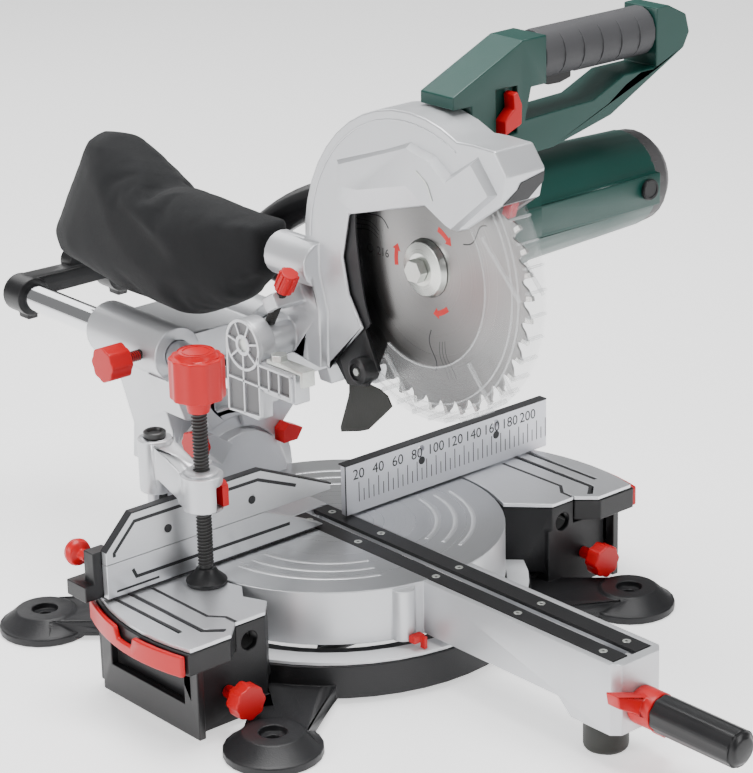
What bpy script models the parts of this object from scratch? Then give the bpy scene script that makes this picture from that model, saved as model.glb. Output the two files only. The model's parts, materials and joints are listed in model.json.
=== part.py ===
"""Sliding compound mitre saw: cast base on four feet, turntable, tilting slide, blade head.

Every size is in millimetres and every mesh is turned into metres when its object is made.
The model is built about the point where the mitre axis meets the table top: X runs along
the fence to the right, Y towards the back, Z up. The last step lifts it onto the bench.
"""

import math

import bmesh
import bpy
from mathutils import Matrix, Vector

# Driving dimensions
TABLE_HEIGHT = 80.0
CENTRE_SHIFT = (-4.0, 33.5)
GAP = 0.3

TURNTABLE_RADIUS = 130.4
TURNTABLE_DEPTH = 42.0
ARM_HALF_WIDTH = 24.0
ARM_FRONT = -325.0
ARM_DEPTH = 54.0
RECESS_HALF_WIDTH = 19.0
KERF_HALF_WIDTH = 4.0
INSERT_FRONT = -316.0
INSERT_BACK = 32.0
INSERT_THICKNESS = 3.0
HANDLE_HEIGHT = -35.0

RING_INNER = 118.0
RING_OUTER = 150.0
RING_TOP = -50.0
RING_BOTTOM = -76.0
FOOT_HOLE = (178.0, 141.0)
FOOT_TOP = -63.0

SIDE_INNER = 133.0
SIDE_SPLIT = 176.5
SIDE_FRONT = -89.6
SIDE_BACK = 34.0
PLATE_THICKNESS = 3.0
SIDE_BOTTOM = -58.0
BOX_OUTER = 202.0
BOX_TOP = -22.0
EXTENSION_BULGE = 224.5
EXTENSION_BULGE_Y = -55.0
EXTENSION_BOW = 180.0
EXTENSION_FRONT = -104.0
EXTENSION_BACK = 26.0
LEG_INNER = 204.0
LEG_OUTER = 210.0
ROD_Z = -61.0
EXTENSION_ROD_RADIUS = 4.0
KNOB_X = 178.0
KNOB_Z = -50.0
EXTENSION_ROD_Y = (-70.0, 2.0)

FENCE_THICKNESS = 8.0
FENCE_SPLIT = 28.6
FENCE_TOP = 63.0
RULER_HEIGHT = 43.0

RAIL_X = 46.0
RAIL_Z = 115.0
RAIL_RADIUS = 11.3
RAIL_FRONT = 46.0
RAIL_BACK = 354.0
HOUSING_FRONT = 132.0
HOUSING_BACK = 225.0
TILT_FRONT = 112.0
DRUM_RADIUS = 43.0
SCALE_RADIUS = 58.0

PIVOT_Y = 22.0
PIVOT_Z = 155.0
PIN_RADIUS = 6.0
EAR_OUTER = 64.0
EAR_INNER = 50.0
EAR_FRONT = 8.5

BLADE_Y = -112.0
BLADE_Z = 231.0
BLADE_RADIUS = 108.0
BLADE_TEETH = 40
GUARD_OUTER = 117.0
GUARD_INNER = 114.2
GUARD_HALF_WIDTH = 18.0
GUARD_WALL = 3.0
COVER_RADIUS = 112.0
COVER_HALF_WIDTH = 10.5
COVER_FRONT_ANGLE = 45.0
COVER_BACK_ANGLE = -118.0
SCREW_LEAN = -30.5
SCREW = (-44.0, 6.0, 187.0)

CHUTE = (-16.0, 214.0)

MOTOR_Y = -110.0
MOTOR_Z = 257.0
HANDLE_Y = -120.0
GRIP_LOW = 93.0
GRIP_HIGH = 205.0

CLAMP_X = -147.0
CLAMP_Y = 26.0
SPINDLE = (-140.6, -20.8)

COLOURS = {
    "cast_silver": ((0.66, 0.67, 0.69), 0.35, 0.85),
    "bright_steel": ((0.74, 0.75, 0.77), 0.25, 1.0),
    "chrome": ((0.82, 0.83, 0.85), 0.08, 1.0),
    "zinc": ((0.70, 0.72, 0.70), 0.35, 0.9),
    "black_cast": ((0.03, 0.03, 0.034), 0.5, 0.1),
    "black_plastic": ((0.02, 0.02, 0.022), 0.45, 0.0),
    "black_rubber": ((0.015, 0.016, 0.014), 0.7, 0.0),
    "red_plastic": ((0.72, 0.02, 0.025), 0.35, 0.0),
    "green_plastic": ((0.01, 0.12, 0.09), 0.45, 0.0),
    "grey_rubber": ((0.09, 0.085, 0.09), 0.65, 0.0),
    "white_scale": ((0.85, 0.86, 0.87), 0.4, 0.0),
    "clear_plastic": ((0.86, 0.88, 0.9), 0.1, 0.0),
    "black_fabric": ((0.02, 0.021, 0.023), 0.85, 0.0),
}

PLANES = {"X": (1, 2, 0), "Y": (0, 2, 1), "Z": (0, 1, 2)}


# Scene, bodies and materials
def clear_scene():
    for item in list(bpy.data.objects):
        bpy.data.objects.remove(item, do_unlink=True)


def make_material(name):
    colour, roughness, metallic = COLOURS[name]
    material = bpy.data.materials.new(name)
    material.use_nodes = True
    shader = material.node_tree.nodes["Principled BSDF"]
    shader.inputs["Base Color"].default_value = (*colour, 1.0)
    shader.inputs["Roughness"].default_value = roughness
    shader.inputs["Metallic"].default_value = metallic
    material.diffuse_color = (*colour, 1.0)
    return material


def make_body(name, place, parent=None):
    """An empty on a joint's axis, which carries the pieces that move about it."""
    empty = bpy.data.objects.new(name, None)
    empty.empty_display_size = 0.03
    bpy.context.collection.objects.link(empty)
    start = Vector(place)
    empty["place"] = place
    if parent:
        empty.parent = parent
        start -= Vector(parent["place"])
    empty.location = start * 0.001
    return empty


def add_part(name, mesh, material, body):
    """One closed mesh, in millimetres about the mitre axis, as an object of its body."""
    mesh.transform(Matrix.Translation(-Vector(body["place"])))
    mesh.transform(Matrix.Scale(0.001, 4))
    bmesh.ops.recalc_face_normals(mesh, faces=mesh.faces)
    data = bpy.data.meshes.new(name)
    mesh.to_mesh(data)
    mesh.free()
    data.materials.append(bpy.data.materials.get(material) or make_material(material))
    item = bpy.data.objects.new(name, data)
    item.parent = body
    bpy.context.collection.objects.link(item)
    return item


# Shapes
def spot(axis, across, up, along):
    """A point from its two places in the plane across an axis, and its place along it."""
    first, second, third = PLANES[axis]
    point = [0.0, 0.0, 0.0]
    point[first], point[second], point[third] = across, up, along
    return point


def prism(axis, outline, low, high):
    mesh = bmesh.new()
    start = [mesh.verts.new(spot(axis, a, b, low)) for a, b in outline]
    end = [mesh.verts.new(spot(axis, a, b, high)) for a, b in outline]
    mesh.faces.new(start)
    mesh.faces.new(list(reversed(end)))
    for i in range(len(outline)):
        j = (i + 1) % len(outline)
        mesh.faces.new((start[i], end[i], end[j], start[j]))
    bmesh.ops.recalc_face_normals(mesh, faces=mesh.faces)
    return mesh


def box(low, high):
    outline = [(low[0], low[1]), (high[0], low[1]), (high[0], high[1]), (low[0], high[1])]
    return prism("Z", outline, low[2], high[2])


def arc(centre, radius, start, end, steps):
    """Points on a circle from one angle to another, in degrees."""
    points = []
    for i in range(steps + 1):
        angle = math.radians(start + (end - start) * i / steps)
        points.append((centre[0] + radius * math.cos(angle), centre[1] + radius * math.sin(angle)))
    return points


def circle(centre, radius, sides):
    return arc(centre, radius, 0, 360 - 360 / sides, sides - 1)


def cylinder(axis, centre, radius, low, high, sides=24):
    return prism(axis, circle(centre, radius, sides), low, high)


def turned(axis, centre, profile, sides=24):
    """A solid of revolution from (radius, place along the axis) pairs that close on themselves."""
    mesh = bmesh.new()
    rings = []
    for radius, along in profile:
        if radius == 0:
            rings.append([mesh.verts.new(spot(axis, *centre, along))])
        else:
            ring = circle(centre, radius, sides)
            rings.append([mesh.verts.new(spot(axis, a, b, along)) for a, b in ring])
    open_profile = profile[0][0] == 0 and profile[-1][0] == 0
    last = len(rings) - 1 if open_profile else len(rings)
    for i in range(last):
        first, second = rings[i], rings[(i + 1) % len(rings)]
        for k in range(sides):
            n = (k + 1) % sides
            corners = [first[k % len(first)], first[n % len(first)]]
            corners += [second[n % len(second)], second[k % len(second)]]
            unique = list(dict.fromkeys(corners))
            if len(unique) > 2:
                mesh.faces.new(unique)
    bmesh.ops.recalc_face_normals(mesh, faces=mesh.faces)
    return mesh


def tube(points, radius, sides=12):
    """A round bar along a path, capped at both ends."""
    mesh = bmesh.new()
    path = [Vector(p) for p in points]
    side = None
    rings = []
    for i, point in enumerate(path):
        ahead = path[min(i + 1, len(path) - 1)] - path[max(i - 1, 0)]
        ahead.normalize()
        if side is None:
            side = ahead.orthogonal().normalized()
        side = (side - ahead * side.dot(ahead)).normalized()
        across = ahead.cross(side)
        ring = []
        for k in range(sides):
            angle = 2 * math.pi * k / sides
            offset = side * math.cos(angle) + across * math.sin(angle)
            ring.append(mesh.verts.new(point + offset * radius))
        rings.append(ring)
    mesh.faces.new(rings[0])
    mesh.faces.new(list(reversed(rings[-1])))
    for first, second in zip(rings, rings[1:]):
        for k in range(sides):
            n = (k + 1) % sides
            mesh.faces.new((first[k], second[k], second[n], first[n]))
    bmesh.ops.recalc_face_normals(mesh, faces=mesh.faces)
    return mesh


def curve_through(points, steps):
    """A Catmull-Rom curve through its points."""
    knots = [Vector(p) for p in points]
    knots = [2 * knots[0] - knots[1], *knots, 2 * knots[-1] - knots[-2]]
    path = []
    for i in range(1, len(knots) - 2):
        a, b, c, d = knots[i - 1 : i + 3]
        for k in range(steps):
            t = k / steps
            path.append(
                0.5 * (2 * b + (c - a) * t + (2 * a - 5 * b + 4 * c - d) * t**2
                       + (3 * b - a - 3 * c + d) * t**3)
            )
    path.append(knots[-2])
    return path


def mirrored(mesh, side):
    """The same shape for the other side of the saw, where side is 1 or -1."""
    if side < 0:
        mesh.transform(Matrix.Scale(-1, 4, Vector((1, 0, 0))))
        bmesh.ops.reverse_faces(mesh, faces=mesh.faces)
    return mesh


def turned_about(mesh, centre, axis, degrees):
    turn = Matrix.Rotation(math.radians(degrees), 4, axis)
    place = Matrix.Translation(Vector(centre))
    mesh.transform(place @ turn @ place.inverted())
    return mesh


def combined(operation, first, others):
    """The first mesh with each of the others joined to it or cut from it, exactly."""
    base = bpy.data.objects.new("base", bpy.data.meshes.new("base"))
    first.to_mesh(base.data)
    first.free()
    bpy.context.collection.objects.link(base)
    for other in others:
        data = bpy.data.meshes.new("tool")
        other.to_mesh(data)
        other.free()
        tool = bpy.data.objects.new("tool", data)
        tool.hide_render = True
        tool.display_type = "WIRE"
        bpy.context.collection.objects.link(tool)
        modifier = base.modifiers.new("boolean", "BOOLEAN")
        modifier.operation = operation
        modifier.solver = "EXACT"
        modifier.object = tool
        graph = bpy.context.evaluated_depsgraph_get()
        result = bpy.data.meshes.new_from_object(base.evaluated_get(graph))
        base.modifiers.clear()
        base.data = result
        bpy.data.objects.remove(tool, do_unlink=True)
    mesh = bmesh.new()
    mesh.from_mesh(base.data)
    bpy.data.objects.remove(base, do_unlink=True)
    return mesh


def joined(first, *others):
    return combined("UNION", first, others)


def carved(first, *others):
    return combined("DIFFERENCE", first, others)


def fluted(axis, centre, radius, low, high, lobes, depth=1.5):
    """A knob with rounded lobes around its edge."""
    sides = lobes * 4
    outline = []
    for k in range(sides):
        angle = 2 * math.pi * k / sides
        reach = radius - depth * 0.5 * (1 - math.cos(lobes * angle))
        outline.append((centre[0] + reach * math.cos(angle), centre[1] + reach * math.sin(angle)))
    return prism(axis, outline, low, high)


# Base
def foot(side, end):
    """A flared foot with its bolt hole, on an arm out of the ring."""
    x, y = side * FOOT_HOLE[0], end * FOOT_HOLE[1]
    length = math.hypot(x, y)
    out = (x / length, y / length)
    across = (-out[1], out[0])
    start, reach, half = RING_INNER + 12, length, 22.0
    corners = ((start, -half - 8), (reach, -half), (reach, half), (start, half + 8))
    outline = [(out[0] * a + across[0] * b, out[1] * a + across[1] * b) for a, b in corners]
    arm = prism("Z", outline, -TABLE_HEIGHT + 3, FOOT_TOP - 2.2)
    pad = turned("Z", (x, y), [(0, -TABLE_HEIGHT), (36, -TABLE_HEIGHT), (36, -TABLE_HEIGHT + 6),
                               (33, -TABLE_HEIGHT + 7), (22, FOOT_TOP), (0, FOOT_TOP)], 24)
    return arm, pad


def side_outline(side):
    """The fixed side table in plan, from the turntable's edge out to the split."""
    inner = [(side * x, y) for x, y in arc((0, 0), SIDE_INNER, 14, -19, 6)]
    if side < 0:
        corner = [(-136, -58), (-128.5, -76), (-141, SIDE_FRONT)]
    else:
        corner = [(118.5, -62), (145, SIDE_FRONT)]
    outer = [(side * 168, SIDE_FRONT), (side * 168, -78), (side * SIDE_SPLIT, -67.5),
             (side * SIDE_SPLIT, SIDE_BACK)]
    return inner + corner + outer


def span(side, near, far):
    """The low and high end of a range along X, on one side of the saw."""
    return sorted((side * near, side * far))


def side_block(side):
    """The black box under a fixed side table, open below, with its outer wall."""
    block = prism("Z", side_outline(side), SIDE_BOTTOM, -PLATE_THICKNESS - GAP)
    low, high = span(side, 141.0, BOX_OUTER)
    lower = box((low, SIDE_FRONT, RING_BOTTOM), (high, SIDE_BACK - 1, BOX_TOP))
    low, high = span(side, 149.0, BOX_OUTER - 4)
    hollow = box((low, SIDE_FRONT + 5, RING_BOTTOM - 5), (high, 14, BOX_TOP - 4))
    low, high = span(side, 149.0, 172.0)
    upper = box((low, SIDE_FRONT + 5, BOX_TOP - 6), (high, 14, -9))
    return block, lower, hollow, upper


def base_casting(body):
    ring = turned("Z", (0, 0), [(RING_INNER, RING_BOTTOM), (RING_OUTER, RING_BOTTOM),
                                (RING_OUTER, RING_TOP), (RING_INNER, RING_TOP)], 48)
    solids = [cylinder("Z", (0, 0), 24, RING_BOTTOM, -53)]
    for turn in (45, 135):
        spoke = box((-RING_INNER - 4, -9, RING_BOTTOM), (RING_INNER + 4, 9, -67))
        solids.append(turned_about(spoke, (0, 0, 0), "Z", turn))
    cuts = []
    for side in (-1, 1):
        block, lower, hollow, upper = side_block(side)
        solids += [block, lower]
        cuts += [hollow, upper]
        low, high = span(side, 36.0, 210.0)
        for y in EXTENSION_ROD_Y:
            cuts.append(cylinder("X", (y, ROD_Z), EXTENSION_ROD_RADIUS + GAP, low, high, 12))
        cuts.append(cylinder("Y", (side * 156, -18), 7.2, -110, -80, 16))
        for end in (-1, 1):
            solids += foot(side, end)
            x, y = side * FOOT_HOLE[0], end * FOOT_HOLE[1]
            cuts.append(cylinder("Z", (x, y), 5, -TABLE_HEIGHT - 2, -50, 12))
            cuts.append(cylinder("Z", (x, y), 10, FOOT_TOP - 5, -50, 16))
    cuts.append(cylinder("Z", (CLAMP_X, CLAMP_Y), 7.6, -30, 5, 16))
    casting = carved(joined(ring, *solids), *cuts)
    add_part("base_casting", casting, "black_cast", body)


def mitre_scale(body):
    """The white ring that carries the mitre angles."""
    ring = turned("Z", (0, 0), [(131.5, RING_TOP + GAP), (148.5, RING_TOP + GAP),
                                (148.5, -47.2), (131.5, -47.2)], 48)
    blocks = [prism("Z", side_outline(side), SIDE_BOTTOM - 2, 0) for side in (-1, 1)]
    back = box((-160, 0, -60), (160, 160, -40))
    add_part("mitre_scale", carved(ring, back, *grown(blocks)), "white_scale", body)


def grown(meshes, by=0.004):
    """The same shapes, a little larger in plan about the mitre axis."""
    for mesh in meshes:
        mesh.transform(Matrix.Diagonal((1 - by, 1 + by, 1, 1)))
    return meshes


def table_plates(body):
    for side, name in ((-1, "left"), (1, "right")):
        plate = prism("Z", side_outline(side), -PLATE_THICKNESS, 0)
        cuts = []
        if side < 0:
            cuts.append(cylinder("Z", (CLAMP_X, CLAMP_Y), 7.6, -10, 5, 16))
        add_part(f"table_plate_{name}", carved(plate, *cuts), "bright_steel", body)


# Fences
def fences(body):
    left_outline = [(-213.6, 1.5), (-13, 1.5), (-12.5, 2.5), (-68, FENCE_SPLIT - GAP),
                    (-213.6, FENCE_SPLIT - GAP)]
    left = prism("Y", left_outline, 0, FENCE_THICKNESS)
    left = carved(left, box((-230, 6, -5), (-150, 12, 40)))
    add_part("fence_left", left, "bright_steel", body)
    right = box((11, 0, 1.5), (225.5, 6, RULER_HEIGHT))
    foot_box = box((30, 5.5, 1.5), (170, 24, 9))
    ribs = [prism("X", [(5.5, 8), (23, 8), (23, 11), (5.5, 38)], x, x + 6) for x in (40, 100, 158)]
    holes = [cylinder("Y", (x, 36), 3.2, -2, 12, 12) for x in (89, 169)]
    right = carved(joined(right, foot_box, *ribs), *holes)
    add_part("fence_right", right, "bright_steel", body)


def sliding_fence(body):
    outline = [(-213.6, FENCE_SPLIT), (-4, FENCE_SPLIT), (-4, 33), (-71, FENCE_TOP), (-189.7, FENCE_TOP),
               (-213.6, 38.7)]
    plate = prism("Y", outline, 0, FENCE_THICKNESS - 2.3)
    holes = [cylinder("Y", (x, 42), 3.4, -2, 12, 12) for x in (-157.8, -80)]
    add_part("fence_sliding", carved(plate, *holes), "bright_steel", body)
    carrier = box((-229, 6.3, 2), (-212, 30, 14))
    upright = box((-221, 6.3, 10), (-205, 18, 38))
    tongue = box((-221, 6.3, FENCE_SPLIT + 2), (-180, 11, 38))
    add_part("fence_carrier", joined(carrier, upright, tongue), "black_plastic", body)


def fence_knob(body):
    profile = [(0, 18.3), (4, 18.3), (4, 26), (9, 27), (10.5, 31), (9, 36), (0, 37)]
    knob = turned("Y", (-217, 31), profile, 20)
    add_part("fence_knob", knob, "red_plastic", body)


# Side table extensions
def bow(y, reach=0.0):
    """How far out the rounded end of an extension stands at a place along Y."""
    return EXTENSION_BULGE + reach - (y - EXTENSION_BULGE_Y) ** 2 / (2 * EXTENSION_BOW)


def bow_line(reach, start, end, steps):
    return [(bow(y, reach), y) for y in (start + (end - start) * i / steps for i in range(steps + 1))]


def extension_body(side, name, body):
    inner = [(177, EXTENSION_BACK), (177, -67.8), (168.6, -78.3), (168.6, -90), (184, EXTENSION_FRONT)]
    outline = inner + bow_line(2.5, EXTENSION_FRONT, EXTENSION_BACK, 8)
    band = prism("Z", outline, -20, -PLATE_THICKNESS - GAP)
    hollow = prism("Z", [(180, 20), (180, -70), (186, -98), (200, -98), (200, 20)], -25, -8)
    leg = box((LEG_INNER, -98, -76), (LEG_OUTER, 18, -18))
    window = box((LEG_INNER - 5, -82, -52), (LEG_OUTER + 5, 6, -21))
    carcass = carved(joined(carved(band, hollow), leg), window)
    rods = [cylinder("X", (y, ROD_Z), EXTENSION_ROD_RADIUS, 42, LEG_INNER + 1, 12)
            for y in EXTENSION_ROD_Y]
    carcass = joined(carcass, *rods)
    add_part(f"extension_{name}", mirrored(carcass, side), "black_plastic", body)


def extension_plate(side, name, body):
    inner = [(177, EXTENSION_BACK), (177, -67.8), (168.6, -78.3), (168.6, -90), (182, EXTENSION_FRONT + 1)]
    outline = inner + bow_line(0, EXTENSION_FRONT + 1, EXTENSION_BACK, 8)
    plate = prism("Z", outline, -PLATE_THICKNESS, 0)
    slot = prism("Z", [(191, 20), (195, 20), (195, -85), (183, -96), (180, -93.5), (191, -83)], -5, 2)
    short = box((204.5, -76, -5), (208, 20, 2))
    plate = carved(plate, slot, short)
    add_part(f"extension_plate_{name}", mirrored(plate, side), "bright_steel", body)


def bumper(side, name, body):
    outline = bow_line(3.4, EXTENSION_FRONT + 2, EXTENSION_BACK - 2, 10)
    outline += bow_line(7.5, EXTENSION_FRONT + 2, EXTENSION_BACK - 2, 10)[::-1]
    strip = prism("Z", outline, -20, -4)
    notch = prism("X", [(-26, 0), (-32, -12), (-50, -12), (-54, 0)], 200, 240)
    add_part(f"bumper_{name}", mirrored(carved(strip, notch), side), "red_plastic", body)


def extension_knob(side, name, body):
    x = side * KNOB_X
    knob = fluted("Y", (x, KNOB_Z), 13.5, -118, -105, 8)
    stem = cylinder("Y", (x, KNOB_Z), 5, -106, SIDE_FRONT - GAP, 12)
    add_part(f"extension_knob_{name}", joined(knob, stem), "red_plastic", body)


# Turntable
def turntable(body):
    disc = cylinder("Z", (0, 0), TURNTABLE_RADIUS, -TURNTABLE_DEPTH, 0, 64)
    h, f, c = ARM_HALF_WIDTH, ARM_FRONT, 7.0
    side_view = [(-100, -TURNTABLE_DEPTH), (-100, 0), (f, 0), (f, -ARM_DEPTH), (-281, -ARM_DEPTH),
                 (-268, -TURNTABLE_DEPTH)]
    arm = prism("X", side_view, -h, h)
    corners = [prism("Z", [(s * (h - c), f - 1), (s * (h + 1), f - 1), (s * (h + 1), f + c)], -60, 2)
               for s in (-1, 1)]
    column = cylinder("Z", (-39.5, -123), 9, -TURNTABLE_DEPTH, -2, 16)
    post = joined(cylinder("Y", (0, 0), SCALE_RADIUS, TILT_FRONT + 12, 140, 32),
                  cylinder("Y", (0, 0), DRUM_RADIUS, TILT_FRONT, 131, 32),
                  prism("Y", [(-44.2, 41), (-44.2, 54), (-37, 54), (-18, 41), (-30, 26)], 102, 118.5))
    post = carved(post, box((-70, 90, -80), (70, 160, -TURNTABLE_DEPTH)))
    hollow = cylinder("Z", (0, 0), TURNTABLE_RADIUS - 6, -50, -8, 48)
    arm_hollow = box((-h + 5, f + 6, -60), (h - 5, -90, -8))
    recess = box((-RECESS_HALF_WIDTH, INSERT_FRONT - 1, -INSERT_THICKNESS - GAP),
                 (RECESS_HALF_WIDTH, INSERT_BACK + 1, 2))
    kerf = box((-KERF_HALF_WIDTH - 3, INSERT_FRONT + 8, -12), (KERF_HALF_WIDTH + 3, INSERT_BACK - 8, 0))
    nose = cylinder("Z", (0, -292), 13, -ARM_DEPTH, -6, 16)
    pivot = cylinder("Z", (0, 60), 14, -TURNTABLE_DEPTH - 4, -6, 16)
    shell = carved(joined(disc, arm, column), *corners, hollow, arm_hollow)
    handle_bore = cylinder("Y", (0, HANDLE_HEIGHT), 4.3, f - 5, f + 12, 12)
    shell = carved(joined(shell, post, nose, pivot), recess, kerf, handle_bore)
    add_part("turntable", shell, "cast_silver", body)


def kerf_inserts(body):
    for side, name in ((-1, "left"), (1, "right")):
        low, high = sorted((side * KERF_HALF_WIDTH, side * (RECESS_HALF_WIDTH - GAP)))
        strip = box((low, INSERT_FRONT, -INSERT_THICKNESS), (high, INSERT_BACK, -0.1))
        add_part(f"kerf_insert_{name}", strip, "black_plastic", body)


def turntable_details(body):
    pointer = joined(box((-43, -139, -41.5), (-33, -132.5, -36)), box((-36, -142, -46.5), (-33, -137, -37)))
    add_part("mitre_pointer", pointer, "red_plastic", body)
    foot_stud = turned("Z", (0, -292), [(0, -TABLE_HEIGHT), (15, -TABLE_HEIGHT), (16.3, -TABLE_HEIGHT + 2),
                                        (16.3, -ARM_DEPTH - GAP), (0, -ARM_DEPTH - GAP)], 24)
    add_part("arm_foot", foot_stud, "black_rubber", body)


def mitre_knob(body):
    """The screw handle that locks the mitre angle."""
    y = ARM_FRONT
    grip = fluted("Y", (0, HANDLE_HEIGHT), 14.2, y - 92, y - 20.3, 9, 1.2)
    profile = [(0, y - 96), (9, y - 95.5), (13, y - 91), (12, y - 80), (0, y - 80)]
    cap = turned("Y", (0, HANDLE_HEIGHT), profile, 18)
    stem = cylinder("Y", (0, HANDLE_HEIGHT), 4, y - 30, y + 5, 12)
    add_part("mitre_knob", joined(grip, cap, stem), "black_plastic", body)


def detent_lever(body):
    """The red lever that lifts the detent pin, around the knob's stem."""
    y = ARM_FRONT
    collar = cylinder("Y", (0, HANDLE_HEIGHT), 14, y - 20, y - GAP, 20)
    outline = [(-35, -14), (-33, -24), (-8, -38), (12, -62), (20, -62), (10, -30), (-6, -24)]
    blade = prism("Y", outline, y - 12, y - GAP)
    lever = carved(joined(collar, blade), cylinder("Y", (0, HANDLE_HEIGHT), 4.4, y - 25, y + 5, 12))
    add_part("detent_lever", lever, "red_plastic", body)


# Tilting arm and slide
def tilt_arm(body):
    """The rear arm: a disc on the tilt axis, a column, and a bored housing for the rails."""
    disc = cylinder("Y", (0, 0), 44, 140.3, 158, 32)
    column = prism("Y", [(-60, 112), (-40, 36), (-42, 8), (0, -20), (42, 8), (40, 36), (60, 112)], 150, 206)
    face = arc((0, 0), 55, 118, 86, 5) + arc((0, 0), 45, 82, 38, 5)
    face += [(48, 40), (58, 50), (40, 60), (20, 64), (-21, 64), (-21, 92), (-46, 96)]
    apron = prism("Y", face, 119, 123.7)
    neck = prism("Y", [(-62, 98), (-50, 64), (-30, 56), (-21, 61), (-21, 98)], 121, 152)
    solids = [column, apron, neck]
    for side in (-1, 1):
        solids.append(cylinder("Y", (side * RAIL_X, RAIL_Z), 22, HOUSING_FRONT, HOUSING_BACK, 24))
    solids.append(box((-RAIL_X, 136, RAIL_Z - 14), (RAIL_X, 221, RAIL_Z + 12)))
    cuts = []
    for side in (-1, 1):
        cuts.append(cylinder("Y", (side * RAIL_X, RAIL_Z), RAIL_RADIUS + GAP, 110, 240, 24))
    cuts.append(box((-28, 165, -40), (28, 215, 92)))
    arm = carved(joined(disc, *solids), *cuts)
    add_part("tilt_arm", arm, "cast_silver", body)
    pointer = joined(box((-5, 114.8, 62), (8, 118.7, 74)), box((-5, 111, 70), (8, 116, 74)))
    add_part("bevel_pointer", pointer, "red_plastic", body)


def bevel_stop(body):
    """The stop block that the tilting arm rests against."""
    stop = prism("Y", [(36, 36), (42, 41), (56, 34), (50, 25), (36, 25)], 106, 118.6)
    add_part("bevel_stop", stop, "red_plastic", body)


def tilt_knob(body):
    """The knob that locks the bevel."""
    knob = fluted("X", (106, 48), 12.5, -57, -46, 8)
    stem = cylinder("X", (106, 48), 4, -47, -44.5, 12)
    add_part("tilt_knob", joined(knob, stem), "red_plastic", body)


def slide_knob(body):
    knob = fluted("X", (152, RAIL_Z), 14.5, -104, -84, 8)
    stem = cylinder("X", (152, RAIL_Z), 4, -86, -68.4, 12)
    add_part("slide_knob", joined(knob, stem), "red_plastic", body)


def slide_rails(body):
    for side, name in ((-1, "left"), (1, "right")):
        rail = cylinder("Y", (side * RAIL_X, RAIL_Z), RAIL_RADIUS, RAIL_FRONT + GAP, RAIL_BACK - 24, 24)
        add_part(f"slide_rail_{name}", rail, "chrome", body)


def rail_bridge(body):
    """The black bar that joins the rails at the back, with a round cable horn."""
    solids = []
    for side in (-1, 1):
        solids.append(cylinder("Y", (side * RAIL_X, RAIL_Z), 16, RAIL_BACK - 23.7, RAIL_BACK, 24))
        low, high = sorted((side * (RAIL_X - 5), side * (RAIL_X + 5)))
        solids.append(box((low, RAIL_BACK - 20, RAIL_Z - 20), (high, RAIL_BACK - 6, RAIL_Z - 6)))
    bar = box((-RAIL_X, RAIL_BACK - 20, RAIL_Z - 2), (RAIL_X, RAIL_BACK - 2, RAIL_Z + 15))
    horn = cylinder("Y", (8, RAIL_Z + 17), 11, RAIL_BACK - 16, RAIL_BACK, 20)
    add_part("rail_bridge", joined(bar, *solids, horn), "black_plastic", body)


def head_carrier(body):
    """The fork at the front of the rails: two ears with the head's pivot between them."""
    solids = []
    cuts = [cylinder("X", (PIVOT_Y, PIVOT_Z), PIN_RADIUS + GAP, -80, 80, 16)]
    for side in (-1, 1):
        low, high = sorted((side * EAR_INNER, side * EAR_OUTER))
        solids.append(cylinder("X", (PIVOT_Y, PIVOT_Z), 20, low, high, 24))
        solids.append(box((low, EAR_FRONT, 98), (high, RAIL_FRONT, 156)))
    solids.append(box((-EAR_OUTER, -36, 122), (-EAR_INNER, 12, 146)))
    web = prism("Y", [(-EAR_OUTER, 98), (-26, 98), (-22, 112), (22, 112), (26, 98), (EAR_OUTER, 98),
                      (EAR_OUTER, 134),
                      (-EAR_OUTER, 134)], RAIL_FRONT - 14, RAIL_FRONT)
    add_part("head_carrier", carved(joined(web, *solids), *cuts), "cast_silver", body)
    pin = cylinder("X", (PIVOT_Y, PIVOT_Z), PIN_RADIUS, -EAR_OUTER - 1, EAR_OUTER + 1, 16)
    add_part("pivot_pin", pin, "zinc", body)


def stop_plate(body):
    """The swivelling plate that the depth stop meets for grooves."""
    plate = box((-63, -40, 146.3), (-51.5, -2, 149.3))
    lip = box((-63, -44, 137), (-51.5, -40.5, 149.3))
    corner = box((-63, -42, 146.3), (-51.5, -38, 149.3))
    head = cylinder("Z", (-57.2, -10), 6.5, 148, 154, 6)
    add_part("stop_plate", joined(plate, corner, lip, head), "zinc", body)


# Saw head
def polar(radius, degrees):
    """A point in the blade's plane; 0 points to the front and 90 up."""
    angle = math.radians(degrees)
    return (BLADE_Y - radius * math.cos(angle), BLADE_Z + radius * math.sin(angle))


def guard_outline(radius, inset):
    """The upper guard seen from the left: its back foot, the arch over the blade and the hood's top."""
    foot_back = [(-17 - inset, 135 + inset), (-3 - inset, 175)]
    arch = [polar(radius, 182 - i * (182 - 64) / 14) for i in range(15)]
    hood = [(-178, 337 - inset), (-201 + inset, 336.5 - inset), (-213 + inset, 321)]
    return foot_back + arch + hood + [(-208 + inset, 300)]


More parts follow.
